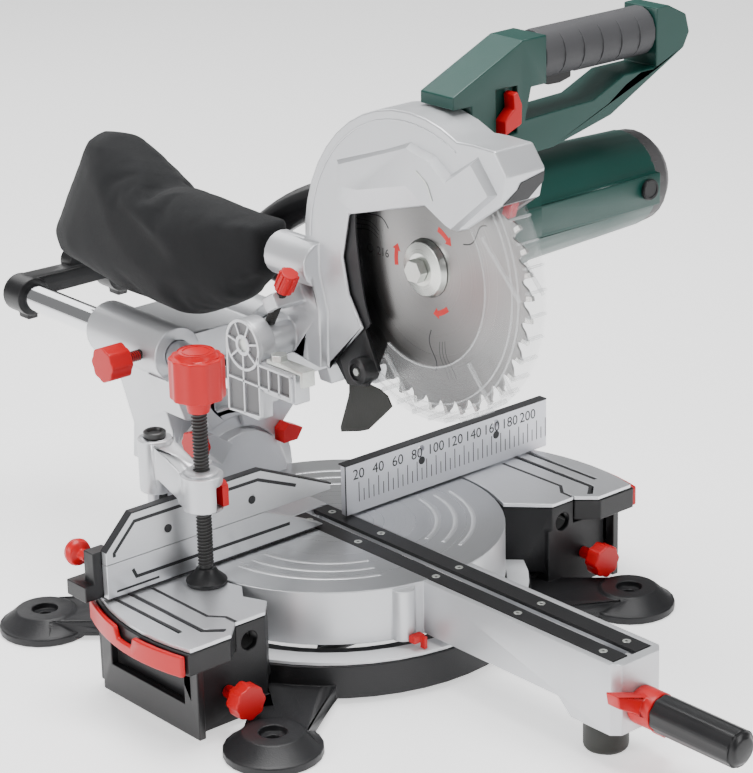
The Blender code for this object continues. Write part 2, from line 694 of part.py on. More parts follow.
def upper_guard(body):
    w = GUARD_HALF_WIDTH
    band = [(-173, 276), (-161, 271.5), (-138, 286), (-46, 260), (-38, 226), (-44, 199), (-59, 176)]
    shell = prism("X", guard_outline(GUARD_OUTER, 0) + band, -w, w)
    room = guard_outline(GUARD_INNER, 3) + [(-206, 280), (-150, 200), (-112, 120), (-60, 120)]
    back_wall = [(-160, 330), (-60, 330), (-20, 290), (-6, 240), (-8, 180), (-20, 140), (-62, 178),
                 (-110, 180), (-170, 268)]
    wall = prism("X", back_wall, w - GUARD_WALL - 1, w)
    gear = joined(cylinder("X", (MOTOR_Y, MOTOR_Z), 44, w - 2, 40, 24),
                  cylinder("X", (BLADE_Y, BLADE_Z), 30, w - 2, 32, 24))
    barrel = cylinder("X", (PIVOT_Y, PIVOT_Z), 15, -EAR_INNER + 1, EAR_INNER - 1, 20)
    arm = prism("X", [(-19, 137), (12, 141), (34, 160), (30, 178), (8, 222), (-8, 222), (-20, 180)], -26, w)
    lug = box((-52, SCREW[1] - 8, SCREW[2] - 5), (-w + 2, SCREW[1] + 8, SCREW[2] + 7))
    lug = turned_about(lug, SCREW, "X", SCREW_LEAN)
    chute = cylinder("Y", (CHUTE[0], CHUTE[1]), 17, -12, 36, 20)
    solids = joined(shell, wall, gear, barrel, arm, chute, lug)
    cuts = [prism("X", room, -w + GUARD_WALL, w - GUARD_WALL),
            cylinder("X", (PIVOT_Y, PIVOT_Z), PIN_RADIUS + GAP, -80, 80, 16),
            cylinder("X", (BLADE_Y, BLADE_Z), 10.3, 0, 34, 16),
            cylinder("Y", CHUTE, 14, 8, 50, 20),
            turned_about(cylinder("Z", SCREW[:2], 4.4, 140, 240, 12), SCREW, "X", SCREW_LEAN)]
    add_part("upper_guard", carved(solids, *cuts), "cast_silver", body)


def chip_deflector(body):
    """The black plastic cover behind the blade, with the round screw hub."""
    outline = [(-23, 141), (-13, 180), (-30, 196), (-58, 174), (-72, 146), (-58, 130), (-36, 126)]
    plate = prism("X", outline, -14.7, -11.2)
    hub = cylinder("X", (-60, 145), 10, -25, -11.2, 20)
    add_part("chip_deflector", joined(plate, hub), "black_plastic", body)


def chip_flap(name, x, body):
    outline = [(-18, 134), (-36, 121), (-56, 124), (-76, 112), (-50, 91), (-28, 92), (-7, 70), (-9, 112)]
    flap = prism("X", outline, x, x + 2)
    add_part(name, flap, "black_rubber", body)


def motor(body):
    """The green motor barrel, stepped and tapered, with its vent cap."""
    profile = [(0, 40.3), (42, 40.3), (42, 74), (40, 78), (38, 150), (36.5, 198), (0, 198)]
    barrel = turned("X", (MOTOR_Y, MOTOR_Z), profile, 28)
    rail = prism("X", [(MOTOR_Y - 40.5, MOTOR_Z - 12), (MOTOR_Y - 40.5, MOTOR_Z + 12),
                       (MOTOR_Y, MOTOR_Z + 16),
                       (MOTOR_Y, MOTOR_Z - 16)], 60, 197)
    add_part("motor_housing", joined(barrel, rail), "green_plastic", body)
    cap_profile = [(0, 198.3), (36, 198.3), (35, 210), (28, 219), (0, 221)]
    cap = turned("X", (MOTOR_Y, MOTOR_Z), cap_profile, 28)
    add_part("motor_cap", cap, "grey_rubber", body)
    brush = cylinder("Y", (184, MOTOR_Z + 2), 8, MOTOR_Y - 43.5, MOTOR_Y - 40.9, 16)
    add_part("brush_cap", brush, "black_plastic", body)


def grip_section(reach):
    """The round-cornered section of the grip, across the handle."""
    points = []
    for k in range(16):
        angle = 2 * math.pi * (k + 0.5) / 16
        points.append((HANDLE_Y + (17 + reach) * math.cos(angle), 370.5 + (18.5 + reach) * math.sin(angle)))
    return points


def handle(body):
    outline = [(20.6, 303), (99, 304.5), (158, 317.5), (234, 355), (240, 366), (236, 380), (218, 389),
               (70, 387.5), (3, 358), (3, 349), (20.6, 349)]
    slab = prism("Y", outline, HANDLE_Y - 17, HANDLE_Y + 17)
    gap = prism("Y", [(78, 352.5), (190, 352.5), (140, 332), (72, 330)], HANDLE_Y - 30, HANDLE_Y + 30)
    sleeve = box((GRIP_LOW, HANDLE_Y - 30, 345), (GRIP_HIGH, HANDLE_Y + 30, 400))
    bar = prism("X", grip_section(-3.6), GRIP_LOW - 3, GRIP_HIGH + 3)
    body_mesh = joined(carved(slab, gap, sleeve), bar)
    slot = box((99, HANDLE_Y - 5.3, 348), (130, HANDLE_Y + 5.3, 369.5))
    lever_slot = box((44, HANDLE_Y - 30, 322), (64, HANDLE_Y - 12, 356))
    barrel = cylinder("X", (MOTOR_Y, MOTOR_Z), 46.5, 0, 260, 28)
    add_part("handle", carved(body_mesh, slot, lever_slot, barrel), "green_plastic", body)
    sleeve_tube = carved(prism("X", grip_section(0), GRIP_LOW + GAP, GRIP_HIGH - GAP),
                         prism("X", grip_section(-3.3), GRIP_LOW - 5, GRIP_HIGH + 5),
                         box((98, HANDLE_Y - 7, 345), (132, HANDLE_Y + 7, 370)))
    add_part("grip_sleeve", sleeve_tube, "grey_rubber", body)


def power_trigger(body):
    outline = [(101, 364), (129, 364), (129, 349), (118, 346.5), (106, 347), (101, 351)]
    trigger = prism("Y", outline, HANDLE_Y - 5, HANDLE_Y + 5)
    add_part("power_trigger", trigger, "black_plastic", body)


def release_lever(body):
    """The red thumb lever that frees the lower guard."""
    outline = [(46, 324), (62, 330), (62.5, 344), (58, 354), (54, 352), (55, 342), (46, 334)]
    lever = prism("Y", outline, HANDLE_Y - 24, HANDLE_Y - 13)
    add_part("release_lever", lever, "red_plastic", body)


def carrying_handle(body):
    route = [(33, -4, 262), (33, 28, 250), (33, 66, 234), (33, 100, 214), (33, 120, 196), (33, 108, 180),
             (33, 80, 176), (33, 52, 180)]
    add_part("carrying_handle", tube(curve_through(route, 3), 13.5, 12), "black_plastic", body)


def dust_bag(body):
    """The soft bag as one plain pillow of the filled bag's size."""
    outline = [(38, 197), (38, 231), (66, 237), (158, 252), (235, 275), (256, 271), (289, 217), (312, 176),
               (303, 158), (214, 143), (122, 142), (66, 166)]
    middle = (160, 200)
    mesh = bmesh.new()
    layers = []
    for share, scale in ((-1, 0.7), (-0.66, 0.93), (0, 1.0), (0.66, 0.93), (1, 0.7)):
        ring = []
        for y, z in outline:
            near = min(1.0, (y - 38) / 60)
            x = CHUTE[0] - 9 * near + share * (17 + 14 * near)
            kept = 1 - (1 - scale) * near
            ring.append(mesh.verts.new((x, middle[0] + (y - middle[0]) * kept,
                                        middle[1] + (z - middle[1]) * kept)))
        layers.append(ring)
    mesh.faces.new(layers[0])
    mesh.faces.new(list(reversed(layers[-1])))
    for first, second in zip(layers, layers[1:]):
        for k in range(len(outline)):
            n = (k + 1) % len(outline)
            mesh.faces.new((first[k], second[k], second[n], first[n]))
    bmesh.ops.triangulate(mesh, faces=mesh.faces)
    add_part("dust_bag", mesh, "black_fabric", body)


def depth_stop(body):
    """The depth screw with its red cap, held in the head's lug."""
    x, y, z = SCREW
    rod = cylinder("Z", (x, y), 4, z - 26, z + 22, 12)
    cap = cylinder("Z", (x, y), 8.3, z + 17, z + 37, 10)
    screw = turned_about(joined(rod, cap), SCREW, "X", SCREW_LEAN)
    add_part("depth_stop", screw, "red_plastic", body)


def lower_guard(body):
    sweep = [polar(COVER_RADIUS,
                   COVER_BACK_ANGLE + i * (COVER_FRONT_ANGLE - COVER_BACK_ANGLE) / 20) for i in range(21)]
    inner_sweep = [polar(COVER_RADIUS - 1.8,
                         COVER_BACK_ANGLE - 6 + i * (COVER_FRONT_ANGLE - COVER_BACK_ANGLE + 12) / 20)
                   for i in range(21)]
    hub = (BLADE_Y, BLADE_Z)
    w = COVER_HALF_WIDTH
    fan = joined(prism("X", [hub, *sweep], -w, w), cylinder("X", hub, 38, -w, w, 24))
    room = joined(prism("X", [hub, *inner_sweep], -w + 1.5, w - 1.5),
                  cylinder("X", hub, 50, -w + 1.5, w - 1.5, 24))
    holes = [cylinder("X", hub, 28, -w - 2, 0, 24), cylinder("X", hub, 24, 0, w + 2, 24)]
    add_part("lower_guard", carved(fan, room, *holes), "clear_plastic", body)


def blade(body):
    outline = []
    for k in range(BLADE_TEETH):
        outline.append(polar(BLADE_RADIUS, 360 * k / BLADE_TEETH))
        outline.append(polar(BLADE_RADIUS - 7, 360 * (k + 0.35) / BLADE_TEETH))
    disc = prism("X", outline, -0.9, 0.9)
    add_part("blade", carved(disc, cylinder("X", (BLADE_Y, BLADE_Z), 15, -5, 5, 20)), "bright_steel", body)


def arbor(body):
    hub = (BLADE_Y, BLADE_Z)
    spindle = turned("X", hub, [(0, -7), (7, -7), (7, -0.9), (14.7, -0.9), (14.7, 1.2), (22, 1.2), (22, 6),
                                (10, 7), (10, 30), (0, 30)], 20)
    spindle = carved(spindle, cylinder("X", hub, 3.9, -10, 12, 12))
    add_part("arbor", spindle, "bright_steel", body)
    flange = turned("X", hub, [(7.3, -1.2), (22, -1.2), (20, -6), (12, -8), (7.3, -8)], 20)
    add_part("outer_flange", flange, "bright_steel", body)
    bolt = joined(cylinder("X", hub, 9, -15.5, -8.3, 6), cylinder("X", hub, 3.6, -9, 9, 12))
    add_part("blade_bolt", bolt, "zinc", body)


# Workpiece clamp
def clamp_post(body):
    x, y = CLAMP_X, CLAMP_Y
    post = cylinder("Z", (x, y), 7.3, -28, 106, 16)
    add_part("clamp_post", post, "black_plastic", body)
    sx, sy = SPINDLE
    length = math.hypot(sx - x, sy - y)
    along = ((sx - x) / length, (sy - y) / length)
    across = (-along[1], along[0])
    corners = ((-2, -9), (length, -10), (length, 10), (-2, 9))
    plan = [(x + along[0] * a + across[0] * b, y + along[1] * a + across[1] * b) for a, b in corners]
    slope = prism("Z", plan, 48, 104)
    high_wedge = [(y + 14, 112), (y + 14, 102), (y - 6, 103), (sy + 12, 86), (sy - 14, 86), (sy - 14, 112)]
    low_wedge = [(y - 6, 45), (y - 8, 76), (sy + 16, 65), (sy + 13.5, 60.5), (sy - 16, 60.5), (sy - 16, 45)]
    cuts = [prism("X", high_wedge, -170, -110), prism("X", low_wedge, -170, -110)]
    collar = cylinder("Z", SPINDLE, 15, 59, 86, 20)
    socket = cylinder("Z", (x, y), 13, 62, 103, 20)
    bores = [cylinder("Z", (x, y), 7.6, 30, 120, 16), cylinder("Z", SPINDLE, 6.4, 50, 100, 16),
             box((sx + 2, sy - 20, 60.5), (sx + 22, sy + 2, 78))]
    add_part("clamp_arm", carved(joined(carved(slope, *cuts), collar, socket), *bores), "cast_silver", body)


def clamp_button(body):
    sx, sy = SPINDLE
    outline = [(sx + 8.5, sy - 13), (sx + 14, sy - 13), (sx + 18, sy - 4), (sx + 18, sy + 1.5),
               (sx + 8.5, sy + 1.5)]
    add_part("clamp_button", prism("Z", outline, 61, 77.5), "red_plastic", body)


def clamp_spindle(body):
    rod = cylinder("Z", SPINDLE, 6, 13, 142, 16)
    add_part("clamp_spindle", rod, "black_plastic", body)
    knob = fluted("Z", SPINDLE, 20.5, 145, 176, 10, 1.6)
    top = turned("Z", SPINDLE, [(0, 174), (17, 174), (14, 179.5), (0, 179.5)], 20)
    neck = turned("Z", SPINDLE, [(0, 142.3), (8, 142.3), (9.5, 147), (0, 147)], 16)
    add_part("clamp_knob", joined(knob, top, neck), "red_plastic", body)


def clamp_pad(body):
    pad = turned("Z", SPINDLE, [(0, 0.3), (15, 0.3), (15.5, 3), (9, 9), (7, 12.7), (0, 12.7)], 20)
    add_part("clamp_pad", pad, "black_plastic", body)


def build():
    clear_scene()
    base = make_body("base", (0, 0, 0))
    base_casting(base)
    mitre_scale(base)
    table_plates(base)
    fences(base)

    fence = make_body("left_fence", (-130, 0, FENCE_SPLIT), base)
    sliding_fence(fence)
    fence_knob(make_body("left_fence_knob", (-217, 18, 31), fence))

    for side, name in ((-1, "left"), (1, "right")):
        extension = make_body(f"{name}_extension", (side * LEG_INNER, -40, ROD_Z), base)
        extension_body(side, name, extension)
        extension_plate(side, name, extension)
        bumper(side, name, extension)
        extension_knob(side, name, make_body(f"{name}_extension_knob", (side * KNOB_X, SIDE_FRONT, KNOB_Z),
                                             base))

    table = make_body("mitre_table", (0, 0, 0), base)
    turntable(table)
    kerf_inserts(table)
    turntable_details(table)
    mitre_knob(make_body("mitre_handle", (0, ARM_FRONT, HANDLE_HEIGHT), table))
    detent_lever(make_body("detent", (0, ARM_FRONT, HANDLE_HEIGHT), table))
    bevel_stop(table)

    tilt = make_body("tilting_arm", (0, 140, 0), table)
    tilt_arm(tilt)
    tilt_knob(make_body("tilt_clamp", (-44.5, 106, 48), table))
    slide_knob(make_body("slide_clamp", (-68.4, 152, RAIL_Z), tilt))

    carriage = make_body("carriage", (0, RAIL_FRONT, RAIL_Z), tilt)
    slide_rails(carriage)
    rail_bridge(carriage)
    head_carrier(carriage)
    stop_plate(make_body("groove_stop", (-57.2, -10, 148), carriage))

    head = make_body("saw_head", (0, PIVOT_Y, PIVOT_Z), carriage)
    upper_guard(head)
    chip_deflector(head)
    chip_flap("chip_flap_left", -17.4, head)
    chip_flap("chip_flap_right", 15.4, head)
    motor(head)
    handle(head)
    carrying_handle(head)
    dust_bag(head)
    depth_stop(make_body("depth_screw", SCREW, head))
    power_trigger(make_body("trigger", (115, HANDLE_Y, 364), head))
    release_lever(make_body("guard_release", (50, HANDLE_Y, 328), head))
    lower_guard(make_body("guard_cover", (0, BLADE_Y, BLADE_Z), head))
    spinning = make_body("spindle", (0, BLADE_Y, BLADE_Z), head)
    blade(spinning)
    arbor(spinning)

    clamp = make_body("clamp", (CLAMP_X, CLAMP_Y, 0), base)
    clamp_post(clamp)
    clamp_button(make_body("clamp_release", (SPINDLE[0] + 18, SPINDLE[1] - 4, 69), clamp))
    foot_body = make_body("clamp_foot", (*SPINDLE, 0.3), clamp)
    clamp_pad(foot_body)
    clamp_spindle(make_body("clamp_screw", (*SPINDLE, 13), foot_body))

    base.location = Vector((*CENTRE_SHIFT, TABLE_HEIGHT)) * 0.001


build()
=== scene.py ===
import math

import bmesh
import bpy
from mathutils import Matrix, Vector
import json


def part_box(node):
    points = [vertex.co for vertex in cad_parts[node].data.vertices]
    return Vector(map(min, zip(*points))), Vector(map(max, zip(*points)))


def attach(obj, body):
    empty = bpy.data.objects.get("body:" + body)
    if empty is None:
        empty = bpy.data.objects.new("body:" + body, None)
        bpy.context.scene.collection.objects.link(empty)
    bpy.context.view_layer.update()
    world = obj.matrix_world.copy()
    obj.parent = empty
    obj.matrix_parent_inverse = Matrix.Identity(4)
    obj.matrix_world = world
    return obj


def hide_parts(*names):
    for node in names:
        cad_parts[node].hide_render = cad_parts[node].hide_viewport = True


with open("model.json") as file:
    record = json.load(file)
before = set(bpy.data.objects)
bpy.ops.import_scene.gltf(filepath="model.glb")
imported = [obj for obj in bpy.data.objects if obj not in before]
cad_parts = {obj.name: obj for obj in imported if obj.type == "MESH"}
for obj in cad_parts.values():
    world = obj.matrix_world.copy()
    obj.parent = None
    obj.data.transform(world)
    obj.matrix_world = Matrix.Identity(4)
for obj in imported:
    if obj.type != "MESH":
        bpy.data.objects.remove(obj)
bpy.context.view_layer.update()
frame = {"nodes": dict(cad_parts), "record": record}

# Everything below is drawn in millimetres about the point where the mitre axis meets the table top
tableCentre = Vector((-4.0, 33.5, 80.0))
toFrame = Matrix.Scale(0.001, 4) @ Matrix.Translation(tableCentre)
bladeCentre = (-112.0, 231.0)  # y and z
turnAxis = {"X": Vector((1, 0, 0)), "Y": Vector((0, 1, 0)), "Z": Vector((0, 0, 1))}
print("frame loaded")

studio = {
    "cameraPlace": (-1.219072, -1.450193, 0.896220),
    "cameraTurn": (69.787, 1.258, -40.788),
    "lens": 126.0,
    "floorColour": (0.93, 0.93, 0.93, 1),
    "sky": 0.27,
    "floorGlow": 0.95,
}


def setStudio():
    lens = bpy.data.cameras.new("camera")
    lens.lens = studio["lens"]
    camera = bpy.data.objects.new("camera", lens)
    camera.location = studio["cameraPlace"]
    camera.rotation_euler = [math.radians(a) for a in studio["cameraTurn"]]
    bpy.context.collection.objects.link(camera)
    bpy.context.scene.camera = camera
    world = bpy.data.worlds.new("studio")
    world.use_nodes = True
    world.node_tree.nodes["Background"].inputs[0].default_value = (1, 1, 1, 1)
    world.node_tree.nodes["Background"].inputs[1].default_value = studio["sky"]
    bpy.context.scene.world = world
    lamps = [("overhead", (0.1, 0.1, 1.8), 1.1, 44), ("left", (-1.9, 0.2, 0.9), 0.8, 20),
             ("front", (0.6, -2.3, 1.5), 0.9, 22), ("back", (0.4, 1.9, 1.3), 1.2, 12)]
    for name, place, width, power in lamps:
        light = bpy.data.lights.new(name, "AREA")
        light.size = width
        light.energy = power
        lamp = bpy.data.objects.new(name, light)
        lamp.location = place
        lamp.rotation_euler = (Vector((0, 0, 0.25)) - Vector(place)).to_track_quat("-Z", "Y").to_euler()
        bpy.context.collection.objects.link(lamp)
    ground = bmesh.new()
    bmesh.ops.create_grid(ground, x_segments=1, y_segments=1, size=6.0)
    mesh = bpy.data.meshes.new("floor")
    ground.to_mesh(mesh)
    ground.free()
    floor = bpy.data.objects.new("floor", mesh)
    bpy.context.collection.objects.link(floor)
    pale = bpy.data.materials.new("pale_floor")
    pale.use_nodes = True
    pale.node_tree.nodes["Principled BSDF"].inputs["Base Color"].default_value = studio["floorColour"]
    pale.node_tree.nodes["Principled BSDF"].inputs["Roughness"].default_value = 0.6
    pale.node_tree.nodes["Principled BSDF"].inputs["Emission Color"].default_value = (1, 1, 1, 1)
    pale.node_tree.nodes["Principled BSDF"].inputs["Emission Strength"].default_value = studio["floorGlow"]
    mesh.materials.append(pale)


setStudio()
print("camera and lights set")


class Value:  # a number that varies over a surface
    def __init__(self, finish, socket):
        self.finish = finish
        self.socket = socket

    def maths(self, operation, first, second=0.0):
        node = self.finish.add("ShaderNodeMath", {"operation": operation}, {0: first, 1: second})
        return Value(self.finish, node.outputs[0])

    def __add__(self, other):
        return self.maths("ADD", self, other)

    def __mul__(self, other):
        return self.maths("MULTIPLY", self, other)

    def __truediv__(self, other):
        return self.maths("DIVIDE", self, other)

    __radd__ = __add__
    __rmul__ = __mul__


class Finish:  # one material
    def __init__(self, name, colour, roughness, metallic=0.0, **constants):
        self.material = bpy.data.materials.new(name)
        self.material.use_nodes = True
        self.tree = self.material.node_tree
        self.shader = self.tree.nodes["Principled BSDF"]
        self.put("Base Color", (*colour, 1))
        self.put("Roughness", roughness)
        self.put("Metallic", metallic)
        for socket, value in constants.items():
            self.put(socket.replace("_", " "), value)

    def put(self, socket, value):
        self.feed(self.shader.inputs[socket], value)

    def feed(self, socket, value):
        if isinstance(value, Value):
            self.tree.links.new(value.socket, socket)
        else:
            socket.default_value = value

    def add(self, kind, settings=None, sockets=None):
        node = self.tree.nodes.new(kind)
        for key, value in (settings or {}).items():
            setattr(node, key, value)
        for key, value in (sockets or {}).items():
            self.feed(node.inputs[key], value)
        return node

    def place(self, stretch=(1, 1, 1), centre=(0, 0, 0)):
        where = self.add("ShaderNodeTexCoord")
        moved = self.add("ShaderNodeVectorMath", {"operation": "SUBTRACT"},
                         {0: Value(self, where.outputs["Object"]), 1: centre})
        mapped = self.add("ShaderNodeMapping", {},
                          {"Vector": Value(self, moved.outputs[0]), "Scale": stretch})
        return Value(self, mapped.outputs[0])

    def noise(self, scale, detail=3.0, stretch=(1, 1, 1)):
        node = self.add("ShaderNodeTexNoise", {},
                        {"Vector": self.place(stretch), "Scale": scale, "Detail": detail})
        return Value(self, node.outputs["Fac"])

    def grains(self, scale):
        node = self.add("ShaderNodeTexVoronoi", {}, {"Vector": self.place(), "Scale": scale})
        return Value(self, node.outputs["Distance"])

    def parts(self, centre):
        node = self.add("ShaderNodeSeparateXYZ", {}, {0: self.place((1, 1, 1), centre)})
        return [Value(self, node.outputs[i]) for i in range(3)]

    def tint(self, factor, first, second):
        node = self.add("ShaderNodeMix", {"data_type": "RGBA"},
                        {0: factor, 6: (*first, 1), 7: (*second, 1)})
        self.put("Base Color", Value(self, node.outputs[2]))

    def bump(self, height, strength, distance=0.0004):
        node = self.add("ShaderNodeBump", {}, {"Height": height, "Strength": strength, "Distance": distance})
        self.put("Normal", Value(self, node.outputs[0]))


def silverPaint():
    paint = Finish("silver_paint", (0.62, 0.63, 0.65), 0.36, 0.55, Coat_Weight=0.15, Coat_Roughness=0.3)
    cloud = paint.noise(14, 4)
    paint.tint(cloud, (0.58, 0.59, 0.61), (0.68, 0.69, 0.71))
    paint.put("Roughness", 0.30 + 0.14 * paint.noise(60))
    paint.bump(paint.noise(1500, 2), 0.10)
    return paint


def groundPlate(name, stretch, pale, dark, rough=0.24):
    plate = Finish(name, pale, rough, 0.85)
    lines = plate.noise(90, 4, stretch)
    plate.tint(lines, dark, pale)
    plate.put("Roughness", rough + 0.16 * lines)
    plate.bump(lines, 0.12, 0.0002)
    return plate


def moulded(name, dark, pale, rough, grain=1800, strength=0.12, **constants):
    shell = Finish(name, dark, rough, 0.0, **constants)
    shell.tint(shell.noise(22, 4), dark, pale)
    shell.put("Roughness", rough - 0.06 + 0.14 * shell.noise(45))
    shell.bump(shell.grains(grain), strength, 0.0003)
    return shell


def turnedSteel(name, centre, pale, dark, axis=0, scale=1800.0, bands=0.0):
    steel = Finish(name, pale, 0.22, 1.0)
    sides = steel.parts(centre)
    across = [s for i, s in enumerate(sides) if i != axis]
    squares = across[0] * across[0] + across[1] * across[1]
    radius = Value(steel, steel.add("ShaderNodeMath", {"operation": "SQRT"}, {0: squares}).outputs[0])
    rings = steel.add("ShaderNodeTexNoise", {"noise_dimensions": "1D"}, {"W": radius * scale, "Scale": 1.0})
    ring = Value(steel, rings.outputs["Fac"])
    # bands paints reflection into the colour: lighter where the surface lies along the first cross axis,
    # darker along the second, standing in for the radial sheen of turned steel
    shade = ring * (1 - bands) + bands * (across[0] * across[0]) / (squares + 1e-6)
    steel.tint(shade, dark, pale)
    steel.put("Roughness", 0.24 + 0.12 * ring)
    steel.bump(ring, 0.04, 0.0001)
    return steel


def clearGuard(name, least, more):
    guard = Finish(name, (0.88, 0.90, 0.91), 0.07, 0.0, Specular_IOR_Level=0.8)
    edge = guard.add("ShaderNodeLayerWeight", {}, {"Blend": 0.35})
    facing = Value(guard, edge.outputs["Facing"])
    guard.put("Alpha", least + more * facing * facing + 0.05 * guard.noise(40))
    return guard


def wovenCloth():
    cloth = Finish("woven_polyester", (0.018, 0.019, 0.021), 0.82, 0.0, Sheen_Weight=0.06,
                   Sheen_Roughness=0.5, Specular_IOR_Level=0.25)
    along = cloth.noise(500, 2, (1, 8, 1))
    upward = cloth.noise(500, 2, (1, 1, 8))
    weave = along * 0.5 + upward * 0.5
    cloth.tint(weave, (0.005, 0.0055, 0.006), (0.015, 0.0155, 0.017))
    cloth.put("Roughness", 0.74 + 0.18 * cloth.noise(30))
    cloth.bump(weave + 1.5 * cloth.noise(28, 3), 0.35, 0.0012)
    return cloth


def metre(x, y, z):
    return tuple((Vector((x, y, z)) + tableCentre) * 0.001)


red = {"dark": (0.50, 0.002, 0.005), "pale": (0.58, 0.004, 0.008)}
green = {"dark": (0.0015, 0.040, 0.031), "pale": (0.003, 0.052, 0.041)}
finishes = {
    "cast_silver": silverPaint(),
    "brushed_plate": groundPlate("ground_plate", (30, 1, 1), (0.80, 0.81, 0.83), (0.68, 0.69, 0.72), 0.3),
    "fence_plate": groundPlate("fence_plate", (1, 6, 26), (0.76, 0.77, 0.79), (0.66, 0.67, 0.69), 0.3),
    "ruler_plate": groundPlate("ruler_plate", (1, 6, 26), (0.74, 0.75, 0.80), (0.69, 0.70, 0.75), 0.42),
    # the blade takes 0.75 of these painted reflection sectors: lighter to the front and back of its centre,
    # darker above and below
    "blade_steel": turnedSteel("blade_steel", metre(0, *bladeCentre), (0.36, 0.355, 0.35),
                               (0.15, 0.148, 0.146), 0, 2600.0, 0.75),
    "flange_steel": turnedSteel("flange_steel", metre(0, *bladeCentre), (0.80, 0.82, 0.78),
                                (0.62, 0.64, 0.60)),
    "table_top": turnedSteel("table_top", metre(0, 0, 0), (0.74, 0.75, 0.76), (0.66, 0.67, 0.69), 2, 900.0),
    "chrome_rail": Finish("chrome_rail", (0.80, 0.81, 0.83), 0.10, 1.0),
    "zinc_steel": groundPlate("zinc_steel", (4, 4, 4), (0.74, 0.76, 0.73), (0.56, 0.58, 0.54), 0.28),
    "carbide": Finish("carbide", (0.82, 0.82, 0.80), 0.25, 1.0),
    "black_cast": moulded("black_paint", (0.010, 0.010, 0.011), (0.018, 0.018, 0.020), 0.42, 900, 0.2,
                          Specular_IOR_Level=0.35),
    "black_steel": moulded("black_oxide", (0.016, 0.016, 0.017), (0.035, 0.034, 0.032), 0.40, 1200, 0.15),
    "black_plastic": moulded("black_plastic", (0.007, 0.007, 0.008), (0.014, 0.014, 0.015), 0.36, 1800, 0.12,
                             Specular_IOR_Level=0.4),
    "grey_plastic": moulded("grey_plastic", (0.050, 0.048, 0.050), (0.075, 0.072, 0.074), 0.5),
    "black_rubber": moulded("black_rubber", (0.010, 0.011, 0.009), (0.022, 0.023, 0.018), 0.55, 700, 0.2),
    "grip_rubber": moulded("grip_rubber", (0.040, 0.040, 0.044), (0.058, 0.058, 0.062), 0.6, 2400, 0.3),
    "red_plastic": moulded("red_plastic", red["dark"], red["pale"], 0.34, 1500, 0.06,
                           Specular_IOR_Level=0.35),
    "green_plastic": moulded("green_plastic", green["dark"], green["pale"], 0.36, 1600, 0.14),
    "white_scale": moulded("white_scale", (0.74, 0.75, 0.77), (0.82, 0.83, 0.85), 0.35),
    "printed_black": moulded("printed_black", (0.012, 0.012, 0.014), (0.020, 0.020, 0.022), 0.5),
    "printed_red": moulded("printed_red", (0.55, 0.012, 0.012), (0.62, 0.02, 0.02), 0.5),
    "clear_plastic": clearGuard("clear_guard", 0.02, 0.40),
    "clear_edge": clearGuard("clear_rib", 0.16, 0.5),
    "red_clear": Finish("red_link", (0.75, 0.02, 0.05), 0.12, 0.0, Alpha=0.6, Coat_Weight=0.5),
    "beige_plastic": moulded("beige_plastic", (0.62, 0.50, 0.33), (0.70, 0.57, 0.39), 0.45),
    # painted shade for the floors of the head carrier's recesses
    "recess_painted_shade": moulded("recess_painted_shade", (0.16, 0.16, 0.165), (0.24, 0.24, 0.245), 0.55),
    "black_fabric": wovenCloth(),
}
print("finishes made")


def putPiece(name, shape, body, slot, finish=None, soft=0.0, smooth=35, stands=(), scaled=True):
    bmesh.ops.remove_doubles(shape, verts=shape.verts[:], dist=0.0005 if scaled else 1e-6)
    bmesh.ops.recalc_face_normals(shape, faces=shape.faces[:])
    if scaled:
        bmesh.ops.transform(shape, matrix=toFrame, verts=shape.verts[:])
    mesh = bpy.data.meshes.new(name)
    shape.to_mesh(mesh)
    shape.free()
    mesh.polygons.foreach_set("use_smooth", [True] * len(mesh.polygons))
    mesh.set_sharp_from_angle(angle=math.radians(smooth))
    piece = bpy.data.objects.new(name, mesh)
    bpy.context.collection.objects.link(piece)
    mesh.materials.append(finishes[finish or slot].material)
    if soft:
        edge = piece.modifiers.new("soft_edges", "BEVEL")
        edge.width = soft * 0.001
        edge.segments = 2
        edge.limit_method = "ANGLE"
        edge.angle_limit = math.radians(28)
        edge.use_clamp_overlap = False
        edge.harden_normals = True
    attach(piece, body)
    if stands:
        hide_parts(*stands)


bodyOf = {node: body for body, nodes in frame["record"]["behaviour"]["bodies"].items() for node in nodes}
slotOf = {part["node"]: part["material_slot"] for part in frame["record"]["subparts"]}


def copied(node):  # the solid of a node as one merged mesh
    shape = bmesh.new()
    shape.from_mesh(frame["nodes"][node].data)
    bmesh.ops.remove_doubles(shape, verts=shape.verts[:], dist=1e-6)
    bmesh.ops.join_triangles(shape, faces=shape.faces[:], angle_face_threshold=math.radians(0.5),
                             angle_shape_threshold=math.radians(60))
    return shape


